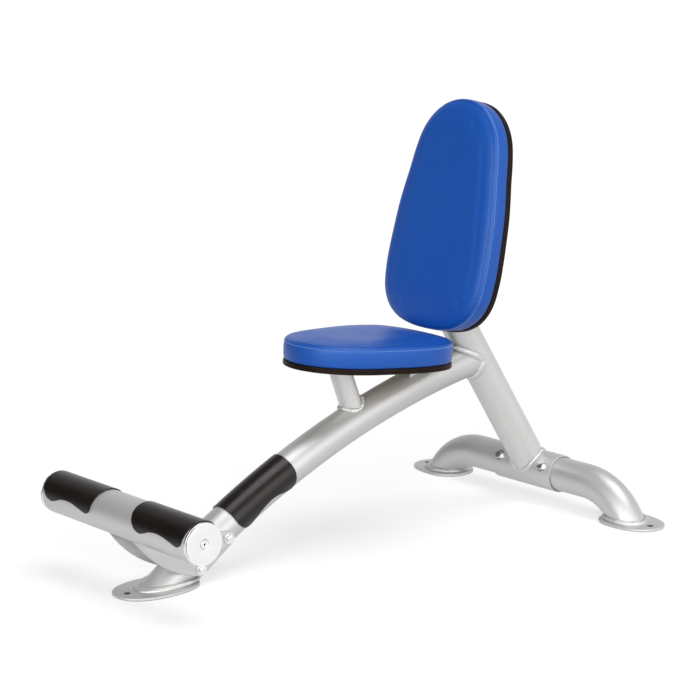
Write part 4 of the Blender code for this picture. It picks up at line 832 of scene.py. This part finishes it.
cap_places = [(hand, facing(FOOTREST_AXIS + way * (FOOTREST_HALF - CAP_THICKNESS), way))
              for hand, way in (("left", X_AXIS), ("right", -X_AXIS))]
set_out(cap, polished_aluminium, "polished_aluminium",
        [("end_cap_" + hand, "footrest_cap_" + hand, place) for hand, place in cap_places])
set_out(screw, turned_zinc, "zinc",
        [("end_cap_screw_" + hand, "footrest_cap_screw_" + hand, place)
         for hand, place in cap_places])


# Footrest flanges
# Two steel plates, cut to a leaf shape, weld to the underside of the footrest and bolt to the
# sides of the spine. Their cut edges are eased before coating.
FLANGE_THICKNESS = 0.006
FLANGE_EASE = 0.0006


def eased_copy(node, name, width):
    """A copy of a flat CAD piece, merged to whole faces, with its edges eased."""
    piece = bpy.data.objects.new(name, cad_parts[node].data.copy())
    bpy.context.scene.collection.objects.link(piece)
    edit_all(piece)
    bpy.ops.mesh.remove_doubles(threshold=0.00001)
    bpy.ops.mesh.dissolve_limited(angle_limit=math.radians(1.0))
    bpy.ops.mesh.customdata_custom_splitnormals_clear()
    bpy.ops.object.mode_set(mode="OBJECT")
    ease_edges(piece, width, 2, 30.0)
    apply_modifier(piece, "WEIGHTED_NORMAL", keep_sharp=True)
    return piece


for hand in ("left", "right"):
    flange = eased_copy("footrest_flange_" + hand, "flange_" + hand, FLANGE_EASE)
    dress(flange, silver_coat, "silver_coat", "footrest_flange_" + hand)


# Bolts, washers and nuts
# Zinc plated hex bolts: two go right through the spine and both flanges, one on each side of the
# upright goes into a leg. Each sits on a washer, and the through bolts end in a nut.
BOLT = 0.010
HEAD_CORNERS = 0.0200
HEAD_HEIGHT = 0.0072
NUT_HEIGHT = 0.0085
BOLT_PAST_NUT = 0.004
THREAD_PITCH = 0.0015
THREAD_CHAMFER = 0.0008
WASHER = 0.0258
WASHER_THICKNESS = 0.002
SLEEVE_BOLT_LENGTH = 0.022
SLEEVE_BOLT_PLACE = 0.070
SLEEVE_BOLT_RISE = math.radians(27.0)


def zinc_material():
    """Bright zinc plate: a cool white metal, slightly cloudy."""
    material, tree, shader = new_material("zinc_plate")
    tone = blend(tree, varied(tree, 0.006), (0.66, 0.68, 0.71, 1.0), (0.80, 0.81, 0.83, 1.0))
    bright = blend(tree, group_value(tree, worn_edge), tone, (0.92, 0.92, 0.92, 1.0))
    feed(tree, shader, {"Base Color": bright, "Metallic": 1.0,
                        "Roughness": varied(tree, 0.004, 0.16, 0.26),
                        "Normal": group_value(tree, fine_ripple, Size=0.0008, Height=0.000008)})
    return material


zinc_plate = zinc_material()


def hex_prism(corners, height):
    """A hex block standing on local Z = 0, its top corners turned off at 30 degrees."""
    bpy.ops.object.select_all(action="DESELECT")
    bpy.ops.mesh.primitive_cylinder_add(vertices=6, radius=corners / 2.0, depth=height,
                                        location=(0.0, 0.0, height / 2.0))
    block = bpy.context.object
    apply_place(block)
    apply_modifier(block, "BEVEL", width=0.0003, segments=2, limit_method="ANGLE")
    flat = corners / 2.0 * math.cos(math.pi / 6.0) * 0.96
    drop = (corners / 2.0 - flat) * math.tan(math.radians(30.0))
    cone = turned([(0.0, -0.001), (corners, -0.001), (corners, height * 0.2),
                   (corners / 2.0 * 1.001, height - drop), (flat, height), (0.0, height)])
    cut_with(block, cone, "INTERSECT")
    return block


def hex_bolt(corners, head_height, shank, length):
    """A hex bolt with its head above local Z = 0 and its shank below.

    The rolled thread at its lower end is drawn as rings.
    """
    radius = shank / 2.0
    root = radius - THREAD_PITCH * 0.40
    end = -length + THREAD_CHAMFER
    rings = int(min(length * 0.6, 0.016) / THREAD_PITCH)
    profile = [(0.0, 0.001), (radius, 0.001)]
    for ring in range(rings, 0, -1):
        crest = end + ring * THREAD_PITCH
        profile += [(radius, crest), (radius, crest - THREAD_PITCH * 0.2),
                    (root, crest - THREAD_PITCH * 0.5), (root, crest - THREAD_PITCH * 0.7)]
    profile += [(radius, end), (radius - THREAD_CHAMFER, -length), (0.0, -length)]
    head = hex_prism(corners, head_height)
    cut_with(head, turned(profile, 28), "UNION")
    return head


flange_face = SPINE_OD / 2.0 + FIT_GAP + FLANGE_THICKNESS
bolt_seat = flange_face + WASHER_THICKNESS + 2.0 * FIT_GAP
washer_rows, through_rows, nut_rows, sleeve_rows = [], [], [], []
for level in ("upper", "lower"):
    low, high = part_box("footrest_washer_" + level + "_head")
    axis_at = Vector((0.0, (low.y + high.y) / 2.0, (low.z + high.z) / 2.0))
    for end, way in (("head", X_AXIS), ("nut", -X_AXIS)):
        washer_rows.append((f"flange_washer_{level}_{end}", f"footrest_washer_{level}_{end}",
                            facing(axis_at + way * (flange_face + FIT_GAP), way)))
    through_rows.append(("flange_bolt_" + level, "footrest_bolt_" + level,
                         facing(axis_at + X_AXIS * bolt_seat, X_AXIS)))
    nut_rows.append(("flange_nut_" + level, "footrest_nut_" + level,
                     facing(axis_at - X_AXIS * bolt_seat, -X_AXIS)))
sleeve_bolt_way = Vector((0.0, -math.cos(SLEEVE_BOLT_RISE), math.sin(SLEEVE_BOLT_RISE)))
for hand, side in (("left", 1.0), ("right", -1.0)):
    washer_at = (UPRIGHT_FOOT + X_AXIS * side * SLEEVE_BOLT_PLACE
                 + sleeve_bolt_way * (SLEEVE_OD / 2.0 + FIT_GAP))
    washer_rows.append(("leg_washer_" + hand, "sleeve_washer_" + hand,
                        facing(washer_at, sleeve_bolt_way)))
    sleeve_rows.append(("leg_bolt_" + hand, "sleeve_bolt_" + hand,
                        facing(washer_at + sleeve_bolt_way * (WASHER_THICKNESS + FIT_GAP),
                               sleeve_bolt_way)))

washer_hole = BOLT / 2.0 + 0.0005
washer = turned([(washer_hole, 0.0), (WASHER / 2.0, 0.0), (WASHER / 2.0, WASHER_THICKNESS),
                 (washer_hole, WASHER_THICKNESS)], 64, 0.0003)
set_out(washer, zinc_plate, "zinc", washer_rows)
through_bolt = hex_bolt(HEAD_CORNERS, HEAD_HEIGHT, BOLT,
                        2.0 * bolt_seat + NUT_HEIGHT + BOLT_PAST_NUT)
set_out(through_bolt, zinc_plate, "zinc", through_rows)
nut = hex_prism(HEAD_CORNERS, NUT_HEIGHT)
cut_with(nut, rod_cutter(BOLT / 2.0 + 0.0002, -Z_AXIS * NUT_HEIGHT, Z_AXIS * 2.0 * NUT_HEIGHT, 48))
set_out(nut, zinc_plate, "zinc", nut_rows)
set_out(hex_bolt(HEAD_CORNERS, HEAD_HEIGHT, BOLT, SLEEVE_BOLT_LENGTH), zinc_plate, "zinc",
        sleeve_rows)


# Rubber grips
# Moulded shells of dark rubber lie over the top of each tube. Their long edges run in a wave,
# low at both ends and high in the middle, and all their edges are rounded.
GRIP_THICKNESS = 0.0025
GRIP_EASE = 0.0009


def rubber_material():
    """Dark brown-black rubber with a fine moulded stipple and a satin bloom."""
    material, tree, shader = new_material("black_rubber")
    stipple = shader_node(tree, "TexVoronoi", {"Vector": object_place(tree), "Scale": 1100.0,
                                               "Smoothness": 0.6}, feature="SMOOTH_F1")
    tone = blend(tree, varied(tree, 0.03), (0.0054, 0.0027, 0.0021, 1.0),
                 (0.0086, 0.0047, 0.0038, 1.0))
    worn = blend(tree, group_value(tree, worn_edge, Start=0.53, End=0.62), tone,
                 (0.06, 0.052, 0.048, 1.0))
    feed(tree, shader, {"Base Color": worn, "Roughness": varied(tree, 0.015, 0.25, 0.33),
                        "Specular IOR Level": 0.34,
                        "Normal": bumped(tree, stipple.outputs["Distance"], 0.00004, 0.6)})
    return material


black_rubber = rubber_material()


def smooth_path(knots, count):
    """Catmull-Rom curve through knots, as count points at even steps."""
    points = []
    last = len(knots) - 1
    for i in range(count):
        t = i / (count - 1) * last
        k = min(int(t), last - 1)
        f = t - k
        p0, p1, p2, p3 = (knots[max(k - 1, 0)], knots[k], knots[k + 1], knots[min(k + 2, last)])
        points.append(tuple(0.5 * (2.0 * b + (c - a) * f + (2.0 * a - 5.0 * b + 4.0 * c - d) * f ** 2
                                   + (3.0 * b - a - 3.0 * c + d) * f ** 3)
                            for a, b, c, d in zip(p0, p1, p2, p3)))
    return points


# Border of each grip as (share of its length, degrees round the tube from the top)
FOOTREST_GRIP_BORDER = ((0.0, 30.0), (0.012, 52.0), (0.045, 71.0), (0.11, 88.0), (0.20, 94.5),
                        (0.29, 89.5), (0.38, 82.5), (0.50, 79.8), (0.62, 82.0), (0.74, 88.0),
                        (0.82, 93.0), (0.88, 94.5), (0.925, 88.5), (0.95, 76.0), (0.972, 55.0),
                        (0.99, 30.0))
SPINE_GRIP_BORDER = ((0.0, 60.0), (0.005, 84.0), (0.03, 106.0), (0.09, 125.0), (0.17, 132.5),
                     (0.26, 122.5), (0.35, 113.0), (0.45, 107.0), (0.56, 104.5), (0.67, 109.5),
                     (0.80, 125.0), (0.885, 129.5), (0.945, 118.0), (0.98, 97.0), (1.0, 72.0))
GRIP_COLUMNS = 120
GRIP_ROWS = 64


def grip(border, length, place_point, rows):
    """A grid laid over a tube, drawn to the wavy border, given its thickness and round edges.

    rows gives the (name, node, matrix) of the grip and of its copies.
    """
    bpy.ops.object.select_all(action="DESELECT")
    bpy.ops.mesh.primitive_grid_add(x_subdivisions=GRIP_COLUMNS, y_subdivisions=GRIP_ROWS, size=1.0)
    piece = bpy.context.object
    edge = smooth_path(border, GRIP_COLUMNS + 1)
    for vertex in piece.data.vertices:
        column = round((vertex.co.x + 0.5) * GRIP_COLUMNS)
        f = 2.0 * vertex.co.y
        share, degrees = edge[column]
        even = column / GRIP_COLUMNS
        along = (even + (share - even) * abs(f) ** 3) * length
        vertex.co = place_point(along, math.radians(degrees) * f)
    edit_all(piece)
    bpy.ops.mesh.normals_make_consistent(inside=False)
    bpy.ops.object.mode_set(mode="OBJECT")
    middle = piece.data.polygons[len(piece.data.polygons) // 2]
    way = 1.0 if middle.normal.z > 0.0 else -1.0
    apply_modifier(piece, "SOLIDIFY", thickness=GRIP_THICKNESS, offset=way)
    ease_edges(piece, GRIP_EASE, 3, 50.0)
    set_out(piece, black_rubber, "black_rubber", rows, smooth=60.0)


FOOTREST_GRIP_START = 0.065
FOOTREST_GRIP_LENGTH = 0.1885
SPINE_GRIP_START = 0.197
SPINE_GRIP_LENGTH = 0.182


def over_footrest(along, angle):
    """A place on the footrest tube, at an angle from its top."""
    radius = FOOTREST_OD / 2.0 + FIT_GAP
    return FOOTREST_AXIS + Vector((FOOTREST_GRIP_START + along, -radius * math.sin(angle),
                                   radius * math.cos(angle)))


def over_spine(along, angle):
    """A place on the spine, at an angle from its top."""
    centre, _, outward = spine_place(SPINE_GRIP_START + along)
    radius = SPINE_OD / 2.0 + FIT_GAP
    return centre + radius * (math.cos(angle) * outward - math.sin(angle) * X_AXIS)


to_right = Matrix.Translation(-X_AXIS * (2.0 * FOOTREST_GRIP_START + FOOTREST_GRIP_LENGTH))
grip(FOOTREST_GRIP_BORDER, FOOTREST_GRIP_LENGTH, over_footrest,
     [("footrest_rubber_left", "footrest_grip_left", Matrix()),
      ("footrest_rubber_right", "footrest_grip_right", to_right)])
grip(SPINE_GRIP_BORDER, SPINE_GRIP_LENGTH, over_spine, [("spine_rubber", "spine_grip", Matrix())])


# Seat post and brackets
# A short post, coped on the spine and mitred under a small plate, carries the front of the seat.
# A folded bracket that straddles the spine carries the rear, and a channel carries the back rest.
# Four bolts go through them into each board.
SEAT_TILT = math.radians(4.4)
SEAT_CENTRE = Vector((0.0, 0.08020, 0.455))
SEAT_MATRIX = Matrix.Translation(SEAT_CENTRE) @ Matrix.Rotation(-SEAT_TILT, 4, "X")
POST_OD = 0.050
POST_PLACE = 0.598
POST_LEAN = math.radians(21.0)
BRACKET_EASE = 0.0007
PAD_BOLT = 0.008
PAD_BOLT_CORNERS = 0.0145
PAD_BOLT_HEAD = 0.0053
PAD_BOLT_LENGTH = 0.0146

post_root, post_root_run = spine_place(POST_PLACE)[:2]
post_run = Vector((0.0, -math.sin(POST_LEAN), math.cos(POST_LEAN)))
post = disc("post", POST_OD / 2.0, post_root, post_run, 96)
draw_out(post, post_run * 0.3)
trim_below(post, SEAT_MATRIX @ Vector((0.0, 0.0, BRACKET_FACE)), SEAT_MATRIX.to_3x3() @ -Z_AXIS)
cut_with(post, rod_cutter(SPINE_OD / 2.0 + COPE_GAP, post_root - post_root_run * 0.15,
                          post_root + post_root_run * 0.15))
dress(post, silver_coat, "silver_coat", "seat_post")
bead("bead_seat_post", "weld_seat_post", post_root, -post_run, POST_OD / 2.0,
     meet_tube(post_root, post_root_run, SPINE_OD / 2.0, Z_AXIS), 0.0062, 0.26, 0.35)

for node, name in (("seat_front_plate", "seat_plate"), ("seat_rear_bracket", "seat_bracket"),
                   ("back_channel", "back_rest_channel")):
    dress(eased_copy(node, name, BRACKET_EASE), silver_coat, "silver_coat", node)

pad_bolt_rows = []
for prefix, matrix in (("seat", SEAT_MATRIX), ("back", BACK_MATRIX)):
    for number in range(1, 5):
        low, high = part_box(f"{prefix}_bolt_{number}")
        middle = matrix.inverted() @ ((low + high) / 2.0)
        pad_bolt_rows.append((f"{prefix}_board_bolt_{number}", f"{prefix}_bolt_{number}",
                              facing(matrix @ Vector((middle.x, middle.y, BRACKET_FACE)),
                                     matrix.to_3x3() @ -Z_AXIS)))
set_out(hex_bolt(PAD_BOLT_CORNERS, PAD_BOLT_HEAD, PAD_BOLT, PAD_BOLT_LENGTH), zinc_plate, "zinc",
        pad_bolt_rows)


# Seat
# Foam on a plywood board, covered in blue vinyl: a face panel sewn to a side band, with a row of
# topstitching under the seam. A moulded black trim holds the board and hides the cover's edge.
SEAT_WIDTH = 0.300
SEAT_REAR = 0.156
SEAT_FRONT = 0.231
SEAT_SEAM_RISE = 0.0042
PAD_BAND = 0.0425
PAD_CROWN = 0.0098
TRIM_HEIGHT = 0.0125
BOARD_INSET = 0.0058
BOARD_THICKNESS = 0.0097
PAD_POINTS = 240
PATH_STEPS = 40

# Half outline as (share of the half width, share of the reach up or down the pad)
SEAT_OUTLINE = ((0.0, 1.0), (0.29, 0.985), (0.57, 0.92), (0.80, 0.78), (0.945, 0.55),
                (0.998, 0.27), (0.993, 0.0), (0.955, -0.165), (0.905, -0.34), (0.83, -0.54),
                (0.67, -0.755), (0.385, -0.93), (0.0, -1.0))


def pad_outline(half_outline, width, up, down):
    """Closed seam line of a pad at even spacing, with the outward way at each point."""
    right = [(s * width / 2.0, t * (up if t > 0.0 else down)) for s, t in half_outline]
    full = right + [(-x, y) for x, y in reversed(right[1:-1])]
    wrapped = full[-2:] + full + full[:3]
    dense = smooth_path(wrapped, (len(wrapped) - 1) * PATH_STEPS + 1)
    dense = dense[2 * PATH_STEPS:(2 + len(full)) * PATH_STEPS + 1]
    lengths = [0.0]
    for (x0, y0), (x1, y1) in zip(dense, dense[1:]):
        lengths.append(lengths[-1] + math.hypot(x1 - x0, y1 - y0))
    points = []
    k = 0
    for i in range(PAD_POINTS):
        target = lengths[-1] * i / PAD_POINTS
        while lengths[k + 1] < target:
            k += 1
        f = (target - lengths[k]) / (lengths[k + 1] - lengths[k])
        points.append(Vector((dense[k][0] + (dense[k + 1][0] - dense[k][0]) * f,
                              dense[k][1] + (dense[k + 1][1] - dense[k][1]) * f, 0.0)))
    points.reverse()
    ways = []
    for i, point in enumerate(points):
        run = points[(i + 1) % PAD_POINTS] - points[i - 1]
        ways.append(Vector((run.y, -run.x, 0.0)).normalized())
    return points, ways, lengths[-1]


# Where the thread draws the vinyl into puckers, counted in rings up the side of the pad
PUCKER_ROW = 10.3
PUCKER_REACH = 2.6


def vinyl_material():
    """Royal blue upholstery vinyl: fine pebbled grain, slightly uneven gloss, painted shade in
    creases and seam.
    """
    material, tree, shader = new_material("blue_vinyl")
    pebbles = shader_node(tree, "TexVoronoi", {"Vector": object_place(tree), "Scale": 900.0},
                          feature="DISTANCE_TO_EDGE")
    creases = ranged(tree, pebbles.outputs["Distance"], end=0.25)
    sewing = shader_node(tree, "UVMap", uv_map="UVMap").outputs[0]
    sewing_parts = shader_node(tree, "SeparateXYZ", {0: sewing}).outputs
    turn = math_value(tree, "MULTIPLY", sewing_parts["X"], 2.0 * math.pi)
    row_off = math_value(tree, "SUBTRACT", sewing_parts["Y"], PUCKER_ROW)
    near_row = ranged(tree, math_value(tree, "ABSOLUTE", row_off), 0.0, PUCKER_REACH, 1.0, 0.0,
                      "SMOOTHSTEP")
    puckers = math_value(tree, "MULTIPLY", math_value(tree, "COSINE", turn), near_row)
    color = blend(tree, varied(tree, 0.12), (0.0058, 0.083, 0.408, 1.0),
                  (0.0078, 0.093, 0.441, 1.0))
    # The creases of the grain are painted a deeper blue: painted shade.
    crease_painted_shade = blend(tree, creases, (0.0060, 0.069, 0.376, 1.0), color)
    # The seam rings are painted a dark blue: painted shade in the seam's groove.
    seam = shader_node(tree, "Attribute", attribute_name="seam").outputs["Fac"]
    feed(tree, shader, {"Base Color": blend(tree, seam, crease_painted_shade, (0.003, 0.048, 0.270, 1.0)),
                        "Roughness": varied(tree, 0.05, 0.38, 0.44),
                        "Specular IOR Level": 0.46, "Specular Tint": (0.72, 0.95, 1.0, 1.0),
                        "Normal": bumped(tree, creases, 0.00003, 0.5,
                                         Normal=bumped(tree, puckers, 0.00040, 0.8))})
    return material


def thread_material():
    """Polyester thread, a shade lighter than the vinyl, with the twist of its strands."""
    material, tree, shader = new_material("blue_thread")
    twist = shader_node(tree, "TexNoise", {"Vector": object_place(tree), "Scale": 2400.0})
    feed(tree, shader, {"Base Color": blend(tree, twist.outputs[0], (0.24, 0.45, 0.75, 1.0),
                                            (0.42, 0.64, 0.88, 1.0)), "Roughness": 0.5})
    return material


def trim_material():
    """Moulded black trim with a low sheen."""
    material, tree, shader = new_material("edge_trim")
    color = blend(tree, varied(tree, 0.03), (0.0100, 0.0050, 0.0034, 1.0),
                  (0.0140, 0.0076, 0.0054, 1.0))
    worn = blend(tree, group_value(tree, worn_edge), color, (0.05, 0.045, 0.042, 1.0))
    feed(tree, shader, {"Base Color": worn, "Roughness": varied(tree, 0.02, 0.30, 0.40),
                        "Specular IOR Level": 0.06,
                        "Normal": group_value(tree, fine_ripple, Size=0.0007, Height=0.000012)})
    return material


def plywood_material():
    """Birch plywood: a pale face veneer with long grain."""
    material, tree, shader = new_material("birch_plywood")
    stretched = shader_node(tree, "Mapping", {"Vector": object_place(tree),
                                              "Scale": (90.0, 4.0, 4.0)})
    grain = shader_node(tree, "TexNoise", {"Vector": stretched.outputs[0], "Scale": 1.0,
                                           "Detail": 6.0, "Distortion": 0.6}).outputs[0]
    feed(tree, shader, {"Base Color": blend(tree, grain, (0.30, 0.215, 0.135, 1.0),
                                            (0.50, 0.39, 0.27, 1.0)),
                        "Roughness": varied(tree, 0.02, 0.55, 0.72),
                        "Normal": bumped(tree, grain, 0.00006, 0.7)})
    return material


blue_vinyl = vinyl_material()
blue_thread = thread_material()
edge_trim = trim_material()
birch_plywood = plywood_material()

# The side of a pad from its foot up over the seam: (outwards, height) of each ring. The foot is
# tucked in, the band bulges, and a roll lies between the topstitching and the seam.
PAD_SIDE = ((-0.0036, -PAD_BAND), (-0.0007, -PAD_BAND + 0.0009), (0.0004, -PAD_BAND + 0.0040),
            (0.0011, -0.0345), (0.0016, -0.0290), (0.0018, -0.0240), (0.0018, -0.0190),
            (0.0016, -0.0145), (0.0012, -0.0108), (0.0007, -0.0085), (0.0002, -0.0075),
            (0.0007, -0.0066), (0.0007, -0.0056), (0.0002, -0.0045), (-0.0006, -0.0034),
            (-0.0016, -0.0023), (-0.0026, -0.0014), (-0.0037, -0.0009), (-0.0045, -0.0008))
FACE_STEPS = (0.0052, 0.0060, 0.0070, 0.0088, 0.0112, 0.0142, 0.0180, 0.0230)
SEAM_RINGS = (17, 18, 19)
SEWN_RINGS = range(9, 20)
TUCKED_RINGS = 3
STITCH_RING = 10
STITCH_DROP = 0.0075
STITCH_PITCH = 0.0060
STITCH_STEPS = 12
STITCH_RISE = 0.0005
STITCH_DIP = -0.0010
THREAD_RADIUS = 0.00065
FACE_REACH = 0.135
FACE_DOME_POWER = 2.2
FACE_ROLL_SHARE = 0.84
FACE_ROLL_REACH = 0.037
FACE_ROLL_POWER = 2.7
SEAM_INWARD = 0.0045
SWELL_REACH = 0.070
SWELL_LEAST = 0.12
SWELL_MOST = 0.0025
SWELL_FRAMES = 20


def face_height(inward, crown):
    """Height of the face above the seam at a distance inward: a broad dome with a rolled edge."""
    inward = max(inward - SEAM_INWARD, 0.0)
    dome = 1.0 - (1.0 - min(inward / FACE_REACH, 1.0)) ** FACE_DOME_POWER
    roll = 1.0 - (1.0 - min(inward / FACE_ROLL_REACH, 1.0)) ** FACE_ROLL_POWER
    return crown * ((1.0 - FACE_ROLL_SHARE) * dome + FACE_ROLL_SHARE * roll)


def depth_inside(outline, place):
    """Distance of a place, seen from above the pad, from the seam line."""
    return min(math.hypot(place.x - point.x, place.y - point.y) for point in outline)


def inflate(piece, outline):
    """Let foam pressure swell the cover between its sewn rings, most of all far from the seam."""
    before = [vertex.co.copy() for vertex in piece.data.vertices]
    cloth = piece.modifiers.new("Foam", "CLOTH")
    cloth.settings.quality = 6
    cloth.settings.mass = 0.4
    cloth.settings.tension_stiffness = 30.0
    cloth.settings.compression_stiffness = 30.0
    cloth.settings.shear_stiffness = 12.0
    cloth.settings.bending_stiffness = 3.0
    cloth.settings.use_pressure = True
    cloth.settings.uniform_pressure_force = 4.0
    cloth.settings.effector_weights.gravity = 0.0
    cloth.settings.vertex_group_mass = "sewn"
    cloth.collision_settings.use_collision = False
    for number in range(1, SWELL_FRAMES + 1):
        bpy.context.scene.frame_set(number)
    only(piece)
    bpy.ops.object.modifier_apply(modifier=cloth.name)
    bpy.context.scene.frame_set(1)
    for vertex, start in zip(piece.data.vertices, before):
        inward = depth_inside(outline, start)
        limit = SWELL_MOST * max(min(inward / SWELL_REACH, 1.0), SWELL_LEAST)
        move = vertex.co - start
        if move.length > limit:
            vertex.co = start + move * (limit / move.length)


def pad(prefix, outline, ways, length, seam_rise, matrix):
    """The stuffed cover of one pad, inflated by its foam between the sewn rings.

    Its UV map counts stitches round the pad and rings up its side.
    """
    crown = PAD_CROWN - seam_rise
    side = list(PAD_SIDE) + [(-inward, face_height(inward, crown)) for inward in FACE_STEPS]
    rings = len(side)
    bpy.ops.object.select_all(action="DESELECT")
    bpy.ops.mesh.primitive_grid_add(x_subdivisions=PAD_POINTS, y_subdivisions=rings - 1, size=1.0)
    piece = bpy.context.object
    piece.name = prefix + "_cushion"
    stitches = round(length / STITCH_PITCH)
    for corner in piece.data.uv_layers.active.data:
        corner.uv = (corner.uv.x * stitches, corner.uv.y * (rings - 1))
    members = {"sewn": [], "top": [], "foot": []}
    seam_shade_values = []
    for vertex in piece.data.vertices:
        column = round((vertex.co.x + 0.5) * PAD_POINTS) % PAD_POINTS
        ring = round((vertex.co.y + 0.5) * (rings - 1))
        away, height = side[ring]
        raised = seam_rise * min((height + PAD_BAND) / (PAD_BAND - STITCH_DROP), 1.0)
        vertex.co = outline[column] + ways[column] * away + Z_AXIS * (height + raised)
        # Marks the seam rings, where the vinyl is painted dark as shade in the groove.
        seam_shade_values.append(1.0 if ring in SEAM_RINGS else 0.0)
        if ring in SEWN_RINGS or ring < TUCKED_RINGS:
            members["sewn"].append(vertex.index)
        if ring == rings - 1:
            members["top"].append(vertex.index)
        if ring == 0:
            members["foot"].append(vertex.index)
    for group, indices in members.items():
        piece.vertex_groups.new(name=group).add(indices, 1.0, "REPLACE")
    piece.data.attributes.new("seam", "FLOAT", "POINT").data.foreach_set("value", seam_shade_values)
    outward_faces(piece)
    bpy.ops.object.mode_set(mode="EDIT")
    for group in ("top", "foot"):
        bpy.ops.mesh.select_all(action="DESELECT")
        piece.vertex_groups.active = piece.vertex_groups[group]
        bpy.ops.object.vertex_group_select()
        bpy.ops.mesh.fill_grid(span=PAD_POINTS // 4)
    bpy.ops.object.mode_set(mode="OBJECT")
    outward_faces(piece)
    face_edge = side[-1][1] + seam_rise
    for vertex in piece.data.vertices:
        if vertex.co.z > face_edge - 0.00001:
            vertex.co.z = seam_rise + face_height(depth_inside(outline, vertex.co), crown)
    inflate(piece, outline)
    apply_modifier(piece, "SUBSURF", levels=1, render_levels=1)
    piece.matrix_world = matrix
    apply_place(piece)
    dress(piece, blue_vinyl, "blue_vinyl", prefix + "_pad", smooth=80.0)


def stitching(prefix, outline, ways, length, seam_rise, matrix):
    """A row of topstitching on the band: one thread that dips into the vinyl between stitches."""
    out = PAD_SIDE[STITCH_RING][0]
    bpy.ops.object.select_all(action="DESELECT")
    bpy.ops.curve.primitive_bezier_circle_add()
    thread = bpy.context.object
    thread.name = prefix + "_stitching"
    thread.data.splines.clear()
    line = thread.data.splines.new("POLY")
    line.use_cyclic_u = True
    count = round(length / STITCH_PITCH) * STITCH_STEPS
    line.points.add(count - 1)
    for i in range(count):
        at = i / count * PAD_POINTS
        k = int(at)
        f = at - k
        point = outline[k].lerp(outline[(k + 1) % PAD_POINTS], f)
        way = ways[k].lerp(ways[(k + 1) % PAD_POINTS], f)
        share = (i % STITCH_STEPS) / STITCH_STEPS
        rise = STITCH_RISE if 0.20 < share < 0.55 else STITCH_DIP
        place = matrix @ (point + way * (out + rise) + Z_AXIS * (seam_rise - STITCH_DROP))
        line.points[i].co = (*place, 1.0)
    thread.data.dimensions = "3D"
    thread.data.bevel_depth = THREAD_RADIUS
    thread.data.bevel_resolution = 1
    only(thread)
    bpy.ops.object.convert(target="MESH")
    thread = bpy.context.object
    thread.data.materials.clear()
    thread.data.materials.append(blue_thread)
    only(thread)
    bpy.ops.object.shade_smooth()
    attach(thread, "root")


# Section of the trim from its lip, round the outside, to its inner wall: (outwards, height)
TRIM_SECTION = ((-0.0200, 0.0), (-0.0100, 0.0), (-0.0004, 0.0), (0.0008, 0.0004), (0.0014, 0.0012),
                (0.0016, 0.0024), (0.0016, 0.0052), (0.0009, 0.0058), (0.0009, 0.0062),
                (0.0016, 0.0068), (0.0016, 0.0088), (0.0012, 0.0103), (0.0004, 0.0116),
                (-0.0006, 0.0124), (-0.0030, 0.0125), (-0.0055, 0.0125), (-0.0055, 0.0025),
                (-0.0200, 0.0025))


def trim(prefix, outline, ways, matrix):
    """The moulded trim, with a fine groove round the middle of its wall."""
    foot = -(PAD_BAND + FIT_GAP + TRIM_HEIGHT)

    def place(turn, share):
        column = round(turn * PAD_POINTS) % PAD_POINTS
        away, height = TRIM_SECTION[round(share * len(TRIM_SECTION)) % len(TRIM_SECTION)]
        return matrix @ (outline[column] + ways[column] * away + Z_AXIS * (foot + height))

    piece = grid_ring(prefix + "_trim", PAD_POINTS, len(TRIM_SECTION), place)
    dress(piece, edge_trim, "edge_trim", prefix + "_edge_trim", smooth=50.0)


def board(prefix, outline, ways, matrix):
    """The plywood board inside the trim."""
    bpy.ops.object.select_all(action="DESELECT")
    bpy.ops.mesh.primitive_circle_add(vertices=PAD_POINTS, radius=1.0, fill_type="NGON")
    piece = bpy.context.object
    for vertex, point, way in zip(piece.data.vertices, outline, ways):
        vertex.co = point - way * BOARD_INSET + Z_AXIS * BOARD_UNDERSIDE
    draw_out(piece, (0.0, 0.0, BOARD_THICKNESS))
    ease_edges(piece, 0.0005, 2)
    set_out(piece, birch_plywood, "plywood", [(prefix + "_plywood", prefix + "_board", matrix)])


def upholster(prefix, half_outline, width, up, down, seam_rise, matrix):
    """All the pieces of one pad; seam_rise makes its band taller and its crown flatter."""
    outline, ways, length = pad_outline(half_outline, width, up, down)
    board(prefix, outline, ways, matrix)
    trim(prefix, outline, ways, matrix)
    pad(prefix, outline, ways, length, seam_rise, matrix)
    stitching(prefix, outline, ways, length, seam_rise, matrix)


upholster("seat", SEAT_OUTLINE, SEAT_WIDTH, SEAT_REAR, SEAT_FRONT, SEAT_SEAM_RISE, SEAT_MATRIX)


# Back rest
# Built as the seat is, on a board, with the same vinyl, stitching and trim. It is taller, slightly
# narrower at the top, and bolted to the channel on the upright.
BACK_WIDTH = 0.324
BACK_TOP = 0.255
BACK_FOOT = 0.269
BACK_OUTLINE = ((0.0, 1.0), (0.21, 0.983), (0.41, 0.93), (0.60, 0.83), (0.74, 0.69),
                (0.82, 0.51), (0.87, 0.32), (0.92, 0.155), (0.957, 0.0), (0.98, -0.17),
                (0.997, -0.35), (0.998, -0.53), (0.95, -0.72), (0.81, -0.86), (0.58, -0.95),
                (0.30, -0.99), (0.0, -1.0))

upholster("back", BACK_OUTLINE, BACK_WIDTH, BACK_TOP, BACK_FOOT, 0.0, BACK_MATRIX)
